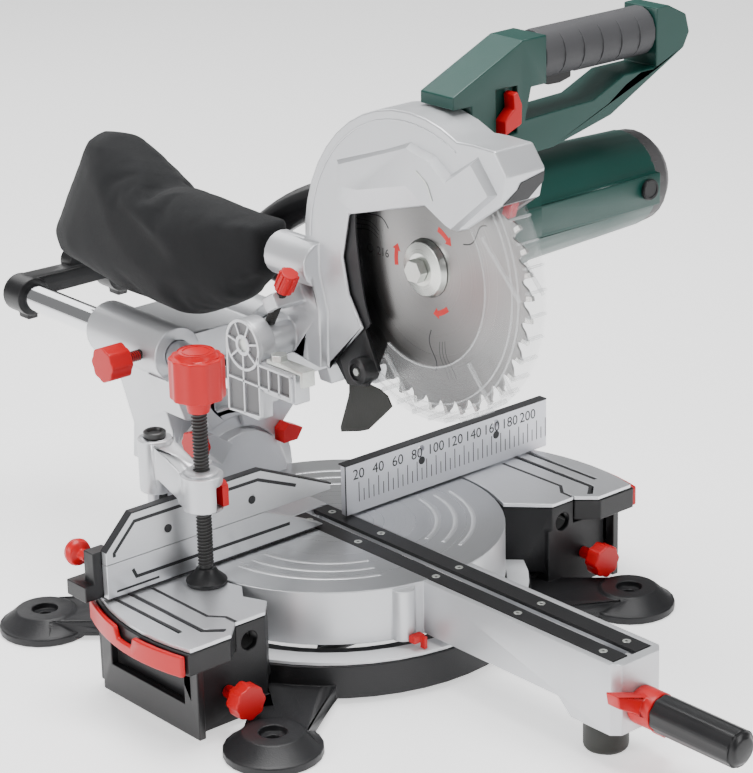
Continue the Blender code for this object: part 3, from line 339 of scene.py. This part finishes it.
# How round each solid's edges are, in millimetres
edges = {
    "base_casting": 1.0, "mitre_scale": 0.3, "table_plate_left": 0.5, "table_plate_right": 0.5,
    "fence_left": 0.5, "fence_right": 0.6, "fence_sliding": 0.5, "fence_carrier": 0.8,
    "fence_knob": 0.8, "extension_left": 0.8, "extension_right": 0.8, "extension_plate_left": 0.4,
    "extension_plate_right": 0.4, "bumper_left": 1.4, "bumper_right": 1.4, "extension_knob_left": 1.2,
    "extension_knob_right": 1.2, "turntable": 0.8, "kerf_insert_left": 0.4, "kerf_insert_right": 0.4,
    "mitre_pointer": 0.5, "arm_foot": 0.8, "bevel_stop": 0.8, "mitre_knob": 1.2, "detent_lever": 1.0,
    "tilt_arm": 1.2, "bevel_pointer": 0.4, "tilt_knob": 1.0, "slide_knob": 1.0, "slide_rail_left": 0.4,
    "slide_rail_right": 0.4, "rail_bridge": 1.2, "head_carrier": 1.0, "pivot_pin": 0.5,
    "stop_plate": 0.4, "upper_guard": 1.6, "chip_deflector": 0.6, "motor_housing": 0.7,
    "motor_cap": 1.2, "brush_cap": 0.5, "handle": 1.0, "grip_sleeve": 1.5, "carrying_handle": 1.0,
    "power_trigger": 1.0, "release_lever": 1.0, "arbor": 0.4, "outer_flange": 0.6, "blade_bolt": 0.6,
    "clamp_arm": 1.2, "clamp_button": 0.8, "clamp_knob": 1.2, "clamp_pad": 0.6, "clamp_post": 0.6,
}
# The finish of each solid that differs from its slot
ownFinish = {"fence_left": "fence_plate", "fence_right": "ruler_plate", "fence_sliding": "fence_plate",
             "arbor": "flange_steel", "outer_flange": "flange_steel", "blade_bolt": "zinc_steel"}
for node, width in edges.items():
    putPiece(node + "_shape", copied(node), bodyOf[node], slotOf[node], ownFinish.get(node), width,
             stands=[node], scaled=False)
print("solid parts dressed")


# Shapes, in millimetres about the table centre
def across(axis, centre, low):  # turns Z into the axis, at the centre in its plane
    turn = {"X": Matrix.Rotation(math.pi / 2, 4, "Y"), "Y": Matrix.Rotation(-math.pi / 2, 4, "X"),
            "Z": Matrix.Identity(4)}[axis]
    place = {"X": (low, centre[0], centre[1]), "Y": (centre[0], low, centre[1]), "Z": (*centre, low)}[axis]
    return Matrix.Translation(place) @ turn


def addRod(shape, axis, centre, radius, low, high, sides=24):
    bmesh.ops.create_cone(shape, cap_ends=True, segments=sides, radius1=radius, radius2=radius,
                          depth=high - low, matrix=across(axis, centre, (low + high) / 2))


def addBlock(shape, low, high):
    size = [b - a for a, b in zip(low, high)]
    middle = Vector([(a + b) / 2 for a, b in zip(low, high)])
    matrix = Matrix.Translation(middle) @ Matrix.Diagonal((*size, 1))
    bmesh.ops.create_cube(shape, size=1.0, matrix=matrix)


def spot(axis, a, b, height):  # a point of a flat drawing at that height along the axis
    return {"X": (height, a, b), "Y": (a, height, b), "Z": (a, b, height)}[axis]


def addSlab(shape, axis, outline, low, high):
    verts = [shape.verts.new(spot(axis, a, b, low)) for a, b in outline]
    face = shape.faces.new(verts)
    grown = bmesh.ops.extrude_face_region(shape, geom=[face], use_keep_orig=True)["geom"]
    moved = [g for g in grown if isinstance(g, bmesh.types.BMVert)]
    bmesh.ops.translate(shape, verts=moved, vec=turnAxis[axis] * (high - low))


def addStroke(shape, axis, points, width, low, high):  # a flat line of even width with square ends
    path = [Vector(p) for p in points]
    left, right = [], []
    for i, p in enumerate(path):
        before = (p - path[i - 1]).normalized() if i else None
        after = (path[i + 1] - p).normalized() if i + 1 < len(path) else None
        along = ((before or after) + (after or before)).normalized()
        side = Vector((-along.y, along.x)) * width / 2
        if before and after:
            side /= max(0.5, along.dot(after))
        left.append(p + side)
        right.append(p - side)
    addSlab(shape, axis, left + right[::-1], low, high)


def addTurned(shape, axis, centre, profile, steps=48, sweep=360.0, start=0.0, height=0.0):
    verts = [shape.verts.new((r, 0, h)) for r, h in profile]
    edgeList = [shape.edges.new((verts[i], verts[(i + 1) % len(verts)])) for i in range(len(verts))]
    bmesh.ops.rotate(shape, verts=verts, cent=(0, 0, 0), matrix=Matrix.Rotation(math.radians(start), 3, "Z"))
    before = set(shape.verts) - set(verts)
    full = abs(sweep) >= 360
    ends = bmesh.ops.spin(shape, geom=verts + edgeList, cent=(0, 0, 0), axis=(0, 0, 1),
                          angle=math.radians(sweep), steps=steps, use_merge=full, use_duplicate=False)
    if not full:
        last = [g for g in ends["geom_last"] if isinstance(g, bmesh.types.BMEdge)]
        bmesh.ops.edgeloop_fill(shape, edges=edgeList)
        bmesh.ops.edgeloop_fill(shape, edges=last)
    made = [v for v in shape.verts if v not in before]
    bmesh.ops.transform(shape, matrix=across(axis, centre, height), verts=made)


def addThread(shape, axis, centre, core, depth, pitch, low, high):
    addRod(shape, axis, centre, core, low, high, 20)
    before = set(shape.verts)
    verts = [shape.verts.new((core - 0.2, 0, -pitch * 0.42)), shape.verts.new((core + depth, 0, 0)),
             shape.verts.new((core - 0.2, 0, pitch * 0.42))]
    ridge = [shape.edges.new((verts[0], verts[1])), shape.edges.new((verts[1], verts[2])),
             shape.edges.new((verts[2], verts[0]))]
    turns = int((high - low) / pitch) - 1
    steps = 14 * turns
    bmesh.ops.spin(shape, geom=verts + ridge, cent=(0, 0, 0), axis=(0, 0, 1), steps=steps,
                   dvec=(0, 0, pitch * turns / steps), angle=2 * math.pi * turns)
    made = [v for v in shape.verts if v not in before]
    bmesh.ops.transform(shape, matrix=across(axis, centre, low + pitch * 0.6), verts=made)


def addLetters(shape, text, size, matrix, thick=0.06):
    letters = bpy.data.curves.new("letters", "FONT")
    letters.body = text
    letters.size = size
    letters.extrude = thick / 2
    letters.align_x = "CENTER"
    letters.resolution_u = 3
    holder = bpy.data.objects.new("letters", letters)
    mesh = bpy.data.meshes.new_from_object(holder)
    mesh.transform(matrix)
    shape.from_mesh(mesh)
    bpy.data.objects.remove(holder)
    bpy.data.meshes.remove(mesh)


def facing(axis, a, b, height):  # letters upright on a face that looks along -axis
    upright = Matrix.Rotation(math.radians(90), 4, "X")
    base = {"X": Matrix.Rotation(math.radians(-90), 4, "Z") @ upright, "Y": upright}[axis]
    return Matrix.Translation(spot(axis, a, b, height)) @ base


def onBlade(radius, degrees):  # 0 is straight up and 90 is to the front
    a = math.radians(degrees)
    return bladeCentre[0] - radius * math.sin(a), bladeCentre[1] + radius * math.cos(a)


# Ruler
ruler = {"first": 20, "last": 220, "step": 5, "zeroAt": 4.2, "foot": 10.3, "short": 20.2, "long": 26.7,
         "letterSize": 11.968, "letterFoot": 29.5, "line": 0.75, "ends": (10.6, 225.6), "top": 43.4,
         "holes": (85, 165), "holeHeight": 26.5, "holeRadius": 3.3}


def rulerMarks():
    marks = bmesh.new()
    half = ruler["line"] / 2
    for tick in range(ruler["first"], ruler["last"] + 1, ruler["step"]):
        x = tick + ruler["zeroAt"]
        top = ruler["long"] if tick % 10 == 0 else ruler["short"]
        addBlock(marks, (x - half, -0.08, ruler["foot"]), (x + half, 0.3, top))
        if tick % 20 == 0 and tick <= 200:
            addLetters(marks, str(tick), ruler["letterSize"], facing("Y", x, ruler["letterFoot"], -0.05), 0.1)
    putPiece("ruler_marks", marks, "base", "black_plastic", "printed_black")
    edge = bmesh.new()
    left, right = ruler["ends"]
    addBlock(edge, (left + 0.2, -0.25, ruler["top"] - 1.2), (right, 8.2, ruler["top"]))
    addBlock(edge, (left, -0.25, 1.6), (left + 0.8, 0.6, ruler["top"]))
    putPiece("ruler_edge", edge, "base", "black_plastic", "printed_black", 0.2)
    holes = bmesh.new()
    for tick in ruler["holes"]:
        place = (tick + ruler["zeroAt"], ruler["holeHeight"])
        addRod(holes, "Y", place, ruler["holeRadius"], -0.12, 0.4, 20)
    putPiece("ruler_holes", holes, "base", "black_plastic", "printed_black")


rulerMarks()


# Fence bands
bands = {"wide": 2.6, "front": -0.12, "holes": (-157.8, -80), "holeHeight": 41.7, "holeRadius": 3.2}


def fenceBands():
    wide, front = bands["wide"], bands["front"]
    upper = bmesh.new()
    line = [(-206.5, 33.5), (-206.5, 36.5), (-187.5, 56.2), (-74, 56.2), (-38, 41.5)]
    addStroke(upper, "Y", line, wide, front, 0.4)
    rim = [(-213.9, 38.7), (-189.9, 63.2), (-71.2, 63.3), (-3.5, 33.2)]
    addStroke(upper, "Y", rim, wide / 2, -0.2, 5.9)
    putPiece("fence_band_upper", upper, "left_fence", "black_plastic", "printed_black")
    lower = bmesh.new()
    addStroke(lower, "Y", [(-191, 19.5), (-188, 13), (-45, 12.4)], wide, front, 0.4)
    addBlock(lower, (-206, front, 5.5), (-168, 0.3, 7.2))
    addBlock(lower, (-214.2, -0.2, 1.4), (-13, 8.2, 2.3))
    putPiece("fence_band_lower", lower, "base", "black_plastic", "printed_black")
    holes = bmesh.new()
    for x in bands["holes"]:
        addRod(holes, "Y", (x, bands["holeHeight"]), bands["holeRadius"], -0.15, 0.4, 20)
    putPiece("fence_holes", holes, "left_fence", "black_plastic", "printed_black")


fenceBands()


# Side table lines and rims
def sideTables():
    for side, name in ((-1, "left"), (1, "right")):
        lines = bmesh.new()
        for points in ([(194, -2.6), (193, -83.5), (180, -94.4)], [(206.7, -1.4), (205.4, -75)]):
            addStroke(lines, "Z", [(side * x, y) for x, y in points], 2.6, 0.0, 0.12)
        putPiece(f"extension_lines_{name}", lines, f"{name}_extension", "black_plastic", "printed_black")
        seam = bmesh.new()
        split = [(175.6, -1), (175.8, -67.2), (167, -77.6), (166.6, -88.8)]
        addStroke(seam, "Z", [(side * x, y) for x, y in split], 2.6, 0.0, 0.12)
        putPiece(f"table_seam_{name}", seam, "base", "black_plastic", "printed_black")


sideTables()


# Turntable arcs, insert screws and the turned skin of the table
table = {"arcs": (78, 92, 106), "rise": 0.5, "width": 2.4, "arcStarts": (-172, -68, 8, 112), "arcSweep": 60,
         "screwX": (-11.5, 11.5), "screwY": (-300, -215, -128, -40, 18)}


def turntableArcs():
    arcs = bmesh.new()
    rise = table["rise"]
    for radius in table["arcs"]:
        inner, outer = radius - table["width"] / 2, radius + table["width"] / 2
        profile = [(inner - 0.8, -0.1), (inner, rise), (outer, rise), (outer + 0.8, -0.1)]
        for start in table["arcStarts"]:
            addTurned(arcs, "Z", (0, 0), profile, 26, table["arcSweep"], start)
    putPiece("turntable_arcs", arcs, "mitre_table", "cast_silver", None, smooth=50)
    screws = bmesh.new()
    head = [(0, -0.5), (0, -0.25), (1.2, -0.25), (1.4, 0.15), (3.0, 0.1), (3.3, -0.5)]
    for x in table["screwX"]:
        for y in table["screwY"]:
            addTurned(screws, "Z", (x, y), head, 18)
    putPiece("insert_screws", screws, "mitre_table", "zinc_steel")
    skin = bmesh.new()
    addTurned(skin, "Z", (0, 0), [(19.5, 0.0), (130.0, 0.0), (130.0, 0.12), (19.5, 0.12)], 64)
    bmesh.ops.bisect_plane(skin, geom=skin.verts[:] + skin.edges[:] + skin.faces[:], plane_co=(19.3, 0, 0),
                           plane_no=(1, 0, 0), clear_inner=True)
    other = bmesh.ops.duplicate(skin, geom=skin.verts[:] + skin.edges[:] + skin.faces[:])["geom"]
    bmesh.ops.scale(skin, vec=(-1, 1, 1), verts=[g for g in other if isinstance(g, bmesh.types.BMVert)])
    putPiece("turntable_skin", skin, "mitre_table", "cast_silver", "table_top")


turntableArcs()


# Mitre scale
mitreScale = {"last": 55, "radius": 147.2, "height": -47.45, "long": 6.0, "short": 3.6, "line": 0.45,
              "numbers": (-45, -30, -15, 0, 15, 30, 45), "numberRadius": 140.5, "numberSize": 5.0}


def scaleMarks():
    marks = bmesh.new()
    height = mitreScale["height"]
    for degree in range(-mitreScale["last"], mitreScale["last"] + 1):
        reach = mitreScale["long"] if degree % 5 == 0 else mitreScale["short"]
        turn = Matrix.Rotation(math.radians(degree - 90), 4, "Z")
        place = Matrix.Translation((mitreScale["radius"] - reach / 2, 0, height))
        flat = place @ Matrix.Diagonal((reach, mitreScale["line"], 0.12, 1))
        bmesh.ops.create_cube(marks, size=1.0, matrix=turn @ flat)
    for degree in mitreScale["numbers"]:
        turn = Matrix.Rotation(math.radians(degree), 4, "Z")
        place = Matrix.Translation((0, -mitreScale["numberRadius"], height))
        addLetters(marks, str(abs(degree)), mitreScale["numberSize"], turn @ place, 0.1)
    putPiece("scale_marks", marks, "base", "black_plastic", "printed_black")


scaleMarks()
print("table marked")


# Blade
bladeLook = {"teeth": 40, "plate": 0.9, "tip": 1.3, "arrows": (38, 158, 278), "slots": (176, 56, 296),
             "tooth": ((0.0, 107.0), (0.10, 100.0), (0.22, 97.5), (0.36, 98.5), (0.52, 102.5), (0.80, 106.0))}


def sawBlade():
    disc = bmesh.new()
    at = 360.0 / bladeLook["teeth"]
    outline = [onBlade(reach, (k + turn) * at) for k in range(bladeLook["teeth"])
               for turn, reach in bladeLook["tooth"]]
    addSlab(disc, "X", outline, -bladeLook["plate"], bladeLook["plate"])
    putPiece("blade_disc", disc, "spindle", "blade_steel", None, stands=["blade"])
    tips = bmesh.new()
    for k in range(bladeLook["teeth"]):
        corners = [onBlade(107.9, k * at - 0.15), onBlade(101.5, k * at + 0.45), onBlade(101.8, k * at - 1.5),
                   onBlade(106.9, k * at - 1.9)]
        addSlab(tips, "X", corners, -bladeLook["tip"], bladeLook["tip"])
    putPiece("blade_tips", tips, "spindle", "blade_steel", "carbide")
    arrows = bmesh.new()
    for middle in bladeLook["arrows"]:
        inner = [onBlade(31.5, middle - 17 + i * 5) for i in range(5)]
        outer = [onBlade(35.5, middle - 17 + i * 5) for i in range(5)]
        addSlab(arrows, "X", inner + outer[::-1], -0.98, -0.85)
        head = [onBlade(29.3, middle + 3), onBlade(37.7, middle + 3), onBlade(33.5, middle + 12)]
        addSlab(arrows, "X", head, -0.98, -0.85)
    putPiece("blade_arrows", arrows, "spindle", "red_plastic", "printed_red")
    marks = bmesh.new()
    addLetters(marks, "216", 9.0, facing("X", bladeCentre[0] + 48, bladeCentre[1] - 2, -0.95), 0.1)
    ring = [(2.6, 0), (3.3, 0), (3.3, 0.1), (2.6, 0.1)]
    addTurned(marks, "X", (bladeCentre[0] + 62, bladeCentre[1] + 1), ring, 24, height=-1.0)
    for start in bladeLook["slots"]:
        slot = [onBlade(46 + 2.2 * i, start + 3.0 * math.sin(i * 0.42)) for i in range(15)]
        addStroke(marks, "X", slot, 0.9, -0.97, -0.85)
        for gap in (9, 12, 15):
            groove = [onBlade(54 + 4 * i, start - gap + 2.0 * math.sin(i * 0.7)) for i in range(8)]
            addStroke(marks, "X", groove, 0.45, -0.95, -0.85)
    putPiece("blade_marks", marks, "spindle", "blade_steel", "printed_black")


sawBlade()


# Clear guard
cover = {"outer": 111.6, "wall": 1.8, "half": 10.5, "inner": 70.0, "front": 45.0, "back": 208.0,
         "ribs": ((79.6, 60, 106, 89), (77.5, 136, 110, 137), (80, 206, 108, 182)), "ribWidth": 2.6,
         "toothStep": 9, "rings": ((103.5, 0.9), (97.0, 0.6), (70.0, 0.7))}


def clearCover():
    wall, half, outer = cover["wall"], cover["half"], cover["outer"]
    sweep = cover["back"] - cover["front"]
    shell = bmesh.new()
    outside = [(cover["inner"], -half), (outer - 2.5, -half), (outer, -half + 2.5), (outer, half - 2.5),
               (outer - 2.5, half), (cover["inner"], half)]
    inside = [(cover["inner"], half - wall), (outer - 3, half - wall), (outer - 2, half - 3),
              (outer - 2, -half + 3), (outer - 3, wall - half), (cover["inner"], wall - half)]
    addTurned(shell, "X", bladeCentre, outside + inside, 44, sweep, 180 + cover["front"])
    putPiece("clear_guard_shell", shell, "guard_cover", "clear_plastic", None, 0.3, smooth=30,
             stands=["lower_guard"])
    ribs = bmesh.new()
    for innerReach, innerTurn, outerReach, outerTurn in cover["ribs"]:
        ends = [onBlade(innerReach, innerTurn), onBlade(outerReach, outerTurn)]
        addStroke(ribs, "X", ends, cover["ribWidth"], -half - 1.8, -half + 0.4)
        addStroke(ribs, "X", ends, cover["ribWidth"], half - 0.4, half + 1.8)
    for degrees in range(50, 206, cover["toothStep"]):
        low, high = onBlade(outer - 2.8, degrees), onBlade(outer + 0.7, degrees)
        addStroke(ribs, "X", [low, high], 1.6, -half + 1.5, half - 1.5)
    for radius, rise in cover["rings"]:
        profile = [(radius, 0), (radius + 1.2, 0), (radius + 1.2, 1.0), (radius, 1.0)]
        addTurned(ribs, "X", bladeCentre, profile, 40, sweep, 180 + cover["front"], -half - rise)
    putPiece("clear_guard_ribs", ribs, "guard_cover", "clear_plastic", "clear_edge", 0.2)


clearCover()
print("blade and clear guard made")


# Upper guard face: the raised panel, its slope above the opening and the hood's side
panel = {"face": -17.6, "raised": -24.2, "rimRadius": 109.5, "linerInner": 70.0, "linerOuter": 86.0,
         "linerHollow": 10.0, "linerSteps": 12}


def guardFace():
    top = panel["raised"]
    low = [(-34, 300), (-116.4, 327.5), (-142.4, 322.4), (-157.2, 312), (-185, 330), (-204, 307),
           (-163, 272.6), (-156, 273.5), (-137.3, 286.8), (-50, 261.5), (-30, 268)]
    high = [(-38, 296, -18.9), (-116, 323.5, -22.6), (-140, 318.4, -23.6), (-157, 306.5, top),
            (-183.5, 325, top), (-200.5, 306.3, top), (-163, 275.5, top), (-157, 277, -24.0),
            (-115.6, 296.6, -23.4), (-60.8, 282.2, -21.6), (-40, 280, -19.0)]
    face = bmesh.new()
    lower = [face.verts.new((panel["face"], y, z)) for y, z in low]
    upper = [face.verts.new((x, y, z)) for y, z, x in high]
    rims = []
    for ring in (lower, upper):
        rims += [face.edges.new((ring[i], ring[(i + 1) % len(ring)])) for i in range(len(ring))]
    bmesh.ops.bridge_loops(face, edges=rims)
    face.faces.new(upper)
    bmesh.ops.triangulate(face, faces=[f for f in face.faces if len(f.verts) > 4])
    putPiece("guard_face", face, "saw_head", "cast_silver", None, 0.0, smooth=14)
    lip = bmesh.new()
    arch = [onBlade(panel["rimRadius"], -88 + i * 5.5) for i in range(22)]
    addStroke(lip, "X", arch, 1.6, -18.7, panel["face"])
    putPiece("guard_rim", lip, "saw_head", "cast_silver", None, 0.4)
    crescent = bmesh.new()
    steps = panel["linerSteps"]
    turns = [-62 - i * 6.2 for i in range(steps + 1)]
    hollow = [panel["linerHollow"] * math.sin(math.pi * i / steps) for i in range(steps + 1)]
    inner = [onBlade(panel["linerInner"] - cut, turn) for cut, turn in zip(hollow, turns)]
    outer = [onBlade(panel["linerOuter"], turn) for turn in turns]
    addSlab(crescent, "X", inner + outer[::-1], -14.2, -13.0)
    putPiece("guard_liner", crescent, "saw_head", "black_plastic", "printed_black")
    link = bmesh.new()
    addStroke(link, "X", [(-188, 309), (-197, 298), (-193, 286)], 7, -1.5, 6)
    putPiece("guard_link", link, "guard_cover", "red_plastic", "red_clear", 0.6)
    block = bmesh.new()
    addBlock(block, (3, -203.5, 308), (9, -195.5, 315))
    putPiece("guard_buffer", block, "saw_head", "black_plastic", "beige_plastic", 0.5)
    slots = bmesh.new()
    addStroke(slots, "X", [(-127.5, 309.5), (-137.5, 303.5)], 1.3, -24.1, -22.0)
    addStroke(slots, "X", [(-137.5, 303.5), (-139.5, 301), (-144, 291.5)], 1.3, -24.3, -22.0)
    putPiece("guard_slots", slots, "saw_head", "cast_silver", "zinc_steel")
    mouth = bmesh.new()
    opening = [(-17.4, 300.4), (-6, 309), (-4, 314), (17, 318.4), (17.6, 311), (6, 300.4)]
    for off in (0, 0.5):  # the hood's front leans forward as it rises
        mouth.faces.new([mouth.verts.new((x, -208.1 - 5 * (z - 300) / 21 - off, z)) for x, z in opening])
    bmesh.ops.bridge_loops(mouth, edges=mouth.edges[:])
    putPiece("hood_mouth", mouth, "saw_head", "black_plastic", "printed_black")


guardFace()


# Spoked boss and ribbed web on the head carrier
boss = {"centre": (22, 155), "spokes": 7, "firstSpoke": 12, "outside": -66.6, "inside": -63.6,
        "rings": ((20.0, 17.6), (8.2, 5.2)), "spokeEnds": (7.5, 18.2)}


def carrierRibs():
    ribs = bmesh.new()
    (y, z), out, back = boss["centre"], boss["outside"], boss["inside"]
    for outer, inner in boss["rings"]:
        addTurned(ribs, "X", (y, z), [(inner, out), (outer, out), (outer, back), (inner, back)], 40)
    for k in range(boss["spokes"]):
        a = math.radians(boss["firstSpoke"] + k * 360 / boss["spokes"])
        ends = [(y + r * math.cos(a), z + r * math.sin(a)) for r in boss["spokeEnds"]]
        addStroke(ribs, "X", ends, 1.8, out, back)
    for line in ([(41, 150), (41, 100)], [(4, 150), (3.5, 103)], [(41, 100), (3.5, 103)],
                 [(22, 136), (22, 101)], [(41, 127), (-33, 127)], [(-33, 143), (-33, 124)],
                 [(4, 144), (-33, 144)], [(-8, 144), (-8, 125)], [(-20, 144), (-20, 125)]):
        addStroke(ribs, "X", line, 1.9, out, back)
    putPiece("carrier_ribs", ribs, "carriage", "cast_silver", None, 0.3)
    # The pocket floors are darker sheets standing for the shade inside the recesses: painted shade
    floor = bmesh.new()
    addTurned(floor, "X", (y, z), [(7.0, -64.5), (18.5, -64.5), (18.5, -63.8), (7.0, -63.8)], 40)
    web = [(41, 140), (41, 101), (3.5, 103), (3.5, 126), (-32, 126), (-32, 143), (5, 143)]
    addSlab(floor, "X", web, -64.45, -63.8)
    putPiece("carrier_pockets", floor, "carriage", "cast_silver", "recess_painted_shade")


carrierRibs()


# Threads, with the clamp's collars and its knob's neck
clamp = {"screw": (-140.6, -20.8), "post": (-147, 26), "core": 4.9, "ridge": 1.1, "pitch": 2.6,
         "knobRings": (9.5, 13.0)}
depth = {"place": (-44, 6, 187), "lean": 30.5, "core": 3.2, "ridge": 0.8, "pitch": 2.0, "flutes": 8}


def threads():
    centre = clamp["screw"]
    rod = bmesh.new()
    addThread(rod, "Z", centre, clamp["core"], clamp["ridge"], clamp["pitch"], 12.9, 141)
    putPiece("clamp_thread", rod, "clamp_screw", "black_steel", None, stands=["clamp_spindle"])
    collars = bmesh.new()
    upper = [(6.2, 86), (12.5, 86), (12.8, 88), (11, 89.2), (6.2, 89.2)]
    lower = [(15, 84), (15.6, 84.4), (15.6, 86), (14.6, 86.6), (12, 86.6), (12, 84)]
    for profile in (upper, lower):
        addTurned(collars, "Z", centre, profile, 32)
    putPiece("clamp_collars", collars, "clamp", "cast_silver")
    mouth = bmesh.new()
    profile = [(5.2, 104), (8.4, 104), (8.4, 107.5), (7.4, 108.2), (6.0, 108.2), (5.2, 107)]
    addTurned(mouth, "Z", clamp["post"], profile, 32)
    putPiece("post_ring", mouth, "clamp", "black_steel")
    neck = bmesh.new()
    addTurned(neck, "Z", centre, [(5.9, 134), (8.0, 134), (9.2, 141), (9.2, 146), (5.9, 146)], 32)
    for reach in clamp["knobRings"]:
        profile = [(reach, 179.2), (reach + 0.9, 179.2), (reach + 0.6, 180.0), (reach + 0.3, 180.0)]
        addTurned(neck, "Z", centre, profile, 40)
    putPiece("clamp_knob_neck", neck, "clamp_screw", "red_plastic", None, 0.3)
    screw = bmesh.new()
    lean = Matrix.Translation(depth["place"]) @ Matrix.Rotation(math.radians(depth["lean"]), 4, "X")
    addThread(screw, "Z", (0, 0), depth["core"], depth["ridge"], depth["pitch"], -22.5, 14)
    bmesh.ops.transform(screw, matrix=lean, verts=screw.verts[:])
    putPiece("depth_thread", screw, "depth_screw", "black_steel")
    cap = bmesh.new()
    for k in range(depth["flutes"]):
        turn = Matrix.Rotation(math.radians(360 * k / depth["flutes"]), 4, "Z")
        flute = Matrix.Translation((6.6, 0, 22)) @ Matrix.Diagonal((2.4, 3.0, 15, 1))
        bmesh.ops.create_cube(cap, size=1.0, matrix=lean @ turn @ flute)
    bmesh.ops.create_cone(cap, cap_ends=True, segments=24, radius1=6.9, radius2=6.4, depth=17,
                          matrix=lean @ Matrix.Translation((0, 0, 22)))
    putPiece("depth_cap", cap, "depth_screw", "red_plastic", None, 0.6, stands=["depth_stop"])
    stem = bmesh.new()
    addThread(stem, "X", (152, 115), 3.6, 0.9, 2.0, -90, -66)
    putPiece("slide_lock_thread", stem, "slide_clamp", "black_steel")


threads()


# Rubber flaps behind the blade, and the hub of the deflector they hang from
def flaps():
    left = bmesh.new()
    outline = [(-39.4, 133), (-70.5, 131.1), (-79, 128), (-83.9, 120.9), (-73.3, 110.9), (-56.4, 95.4),
               (-47.5, 91.7), (-25.2, 85.1), (-24.5, 88.9), (-34.4, 114.8)]
    addSlab(left, "X", outline, -13.0, -11.6)
    putPiece("chip_flap_left_leaf", left, "saw_head", "black_rubber", None, 0.3, stands=["chip_flap_left"])
    right = bmesh.new()
    outline = [(-7, 131), (-6, 104), (-5.5, 74), (-8, 78), (-16, 84), (-20, 98), (-24, 116), (-27, 131)]
    addSlab(right, "X", outline, 11.6, 13.0)
    putPiece("chip_flap_right_leaf", right, "saw_head", "black_rubber", None, 0.3, stands=["chip_flap_right"])
    hub = bmesh.new()
    pivot = (-60, 145)
    addTurned(hub, "X", pivot, [(6.5, -26.6), (9.8, -25), (10.2, -12), (6.5, -12)], 32)
    putPiece("deflector_hub", hub, "saw_head", "black_plastic", None, 0.3)
    screw = bmesh.new()
    addRod(screw, "X", pivot, 3.2, -26.4, -24, 6)
    putPiece("deflector_screw", screw, "saw_head", "zinc_steel", None, 0.3)


flaps()


# Motor and handle details
motor = {"axis": (-110, 257), "capRibs": 14, "ribSweep": 9}
grip = {"axis": (-120, 370.5), "bands": (112, 131, 150, 169, 188)}


def motorDetails():
    ribs = bmesh.new()
    profile = [(34.6, 195.5), (36.4, 196.5), (35.2, 206), (31.5, 213.5), (29.5, 213.5)]
    for k in range(motor["capRibs"]):
        addTurned(ribs, "X", motor["axis"], profile, 3, motor["ribSweep"], k * 360 / motor["capRibs"])
    putPiece("motor_cap_ribs", ribs, "saw_head", "grey_plastic", None, 0.4)
    ring = bmesh.new()
    low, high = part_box("brush_cap")
    middle = (low + high) / 2 * 1000 - tableCentre
    addTurned(ring, "X", (0, 0), [(5.4, 0), (7.8, 0), (7.4, 1.2), (5.8, 1.2)], 28)
    away = (middle - Vector((middle.x, *motor["axis"]))).normalized()
    turn = Vector((1, 0, 0)).rotation_difference(away).to_matrix().to_4x4()
    place = Matrix.Translation(middle + away * 0.6) @ turn
    bmesh.ops.transform(ring, matrix=place, verts=ring.verts[:])
    putPiece("brush_cap_ring", ring, "saw_head", "black_plastic", None, 0.2)


def gripBands():
    rings = bmesh.new()
    profile = [(16.6, -0.9), (17.9, -0.5), (17.9, 0.5), (16.6, 0.9)]
    for x in grip["bands"]:
        addTurned(rings, "X", grip["axis"], profile, 28, height=x)
    putPiece("grip_bands", rings, "saw_head", "grip_rubber", None, 0.2)


motorDetails()
gripBands()


# Dust bag
bag = {"voxel": 0.005, "pressure": 4.0, "frames": 20, "cap": 0.010, "shrink": 0.97}


def dustBag():
    shape = copied("dust_bag")
    middle = sum((v.co for v in shape.verts), Vector()) / len(shape.verts)
    for vert in shape.verts:
        vert.co = middle + (vert.co - middle) * bag["shrink"]
    bmesh.ops.triangulate(shape, faces=shape.faces[:])
    mesh = bpy.data.meshes.new("dust_bag_cloth")
    shape.to_mesh(mesh)
    shape.free()
    cloth = bpy.data.objects.new("dust_bag_cloth", mesh)
    bpy.context.collection.objects.link(cloth)
    remesh = cloth.modifiers.new("remesh", "REMESH")
    remesh.mode = "VOXEL"
    remesh.voxel_size = bag["voxel"]
    depsgraph = bpy.context.evaluated_depsgraph_get()
    fine = bpy.data.meshes.new_from_object(cloth.evaluated_get(depsgraph))
    cloth.modifiers.clear()
    cloth.data = fine
    rest = [v.co.copy() for v in fine.vertices]
    pressed = cloth.modifiers.new("cloth", "CLOTH")
    pressed.settings.use_pressure = True
    pressed.settings.uniform_pressure_force = bag["pressure"]
    pressed.settings.effector_weights.gravity = 0.0
    pressed.settings.quality = 5
    scene = bpy.context.scene
    scene.frame_start = 1
    scene.frame_end = bag["frames"]
    for step in range(1, bag["frames"] + 1):
        scene.frame_set(step)
    depsgraph = bpy.context.evaluated_depsgraph_get()
    swollen = bpy.data.meshes.new_from_object(cloth.evaluated_get(depsgraph))
    cloth.modifiers.clear()
    for vert, start in zip(swollen.vertices, rest):
        move = vert.co - start
        if move.length > bag["cap"]:
            vert.co = start + move.normalized() * bag["cap"]
    cloth.data = swollen
    scene.frame_set(1)
    finer = cloth.modifiers.new("subdivision", "SUBSURF")
    finer.levels = 1
    finer.render_levels = 1
    cloth.data.polygons.foreach_set("use_smooth", [True] * len(cloth.data.polygons))
    cloth.data.materials.append(finishes["black_fabric"].material)
    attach(cloth, "saw_head")
    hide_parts("dust_bag")


dustBag()
print("dust bag sewn")
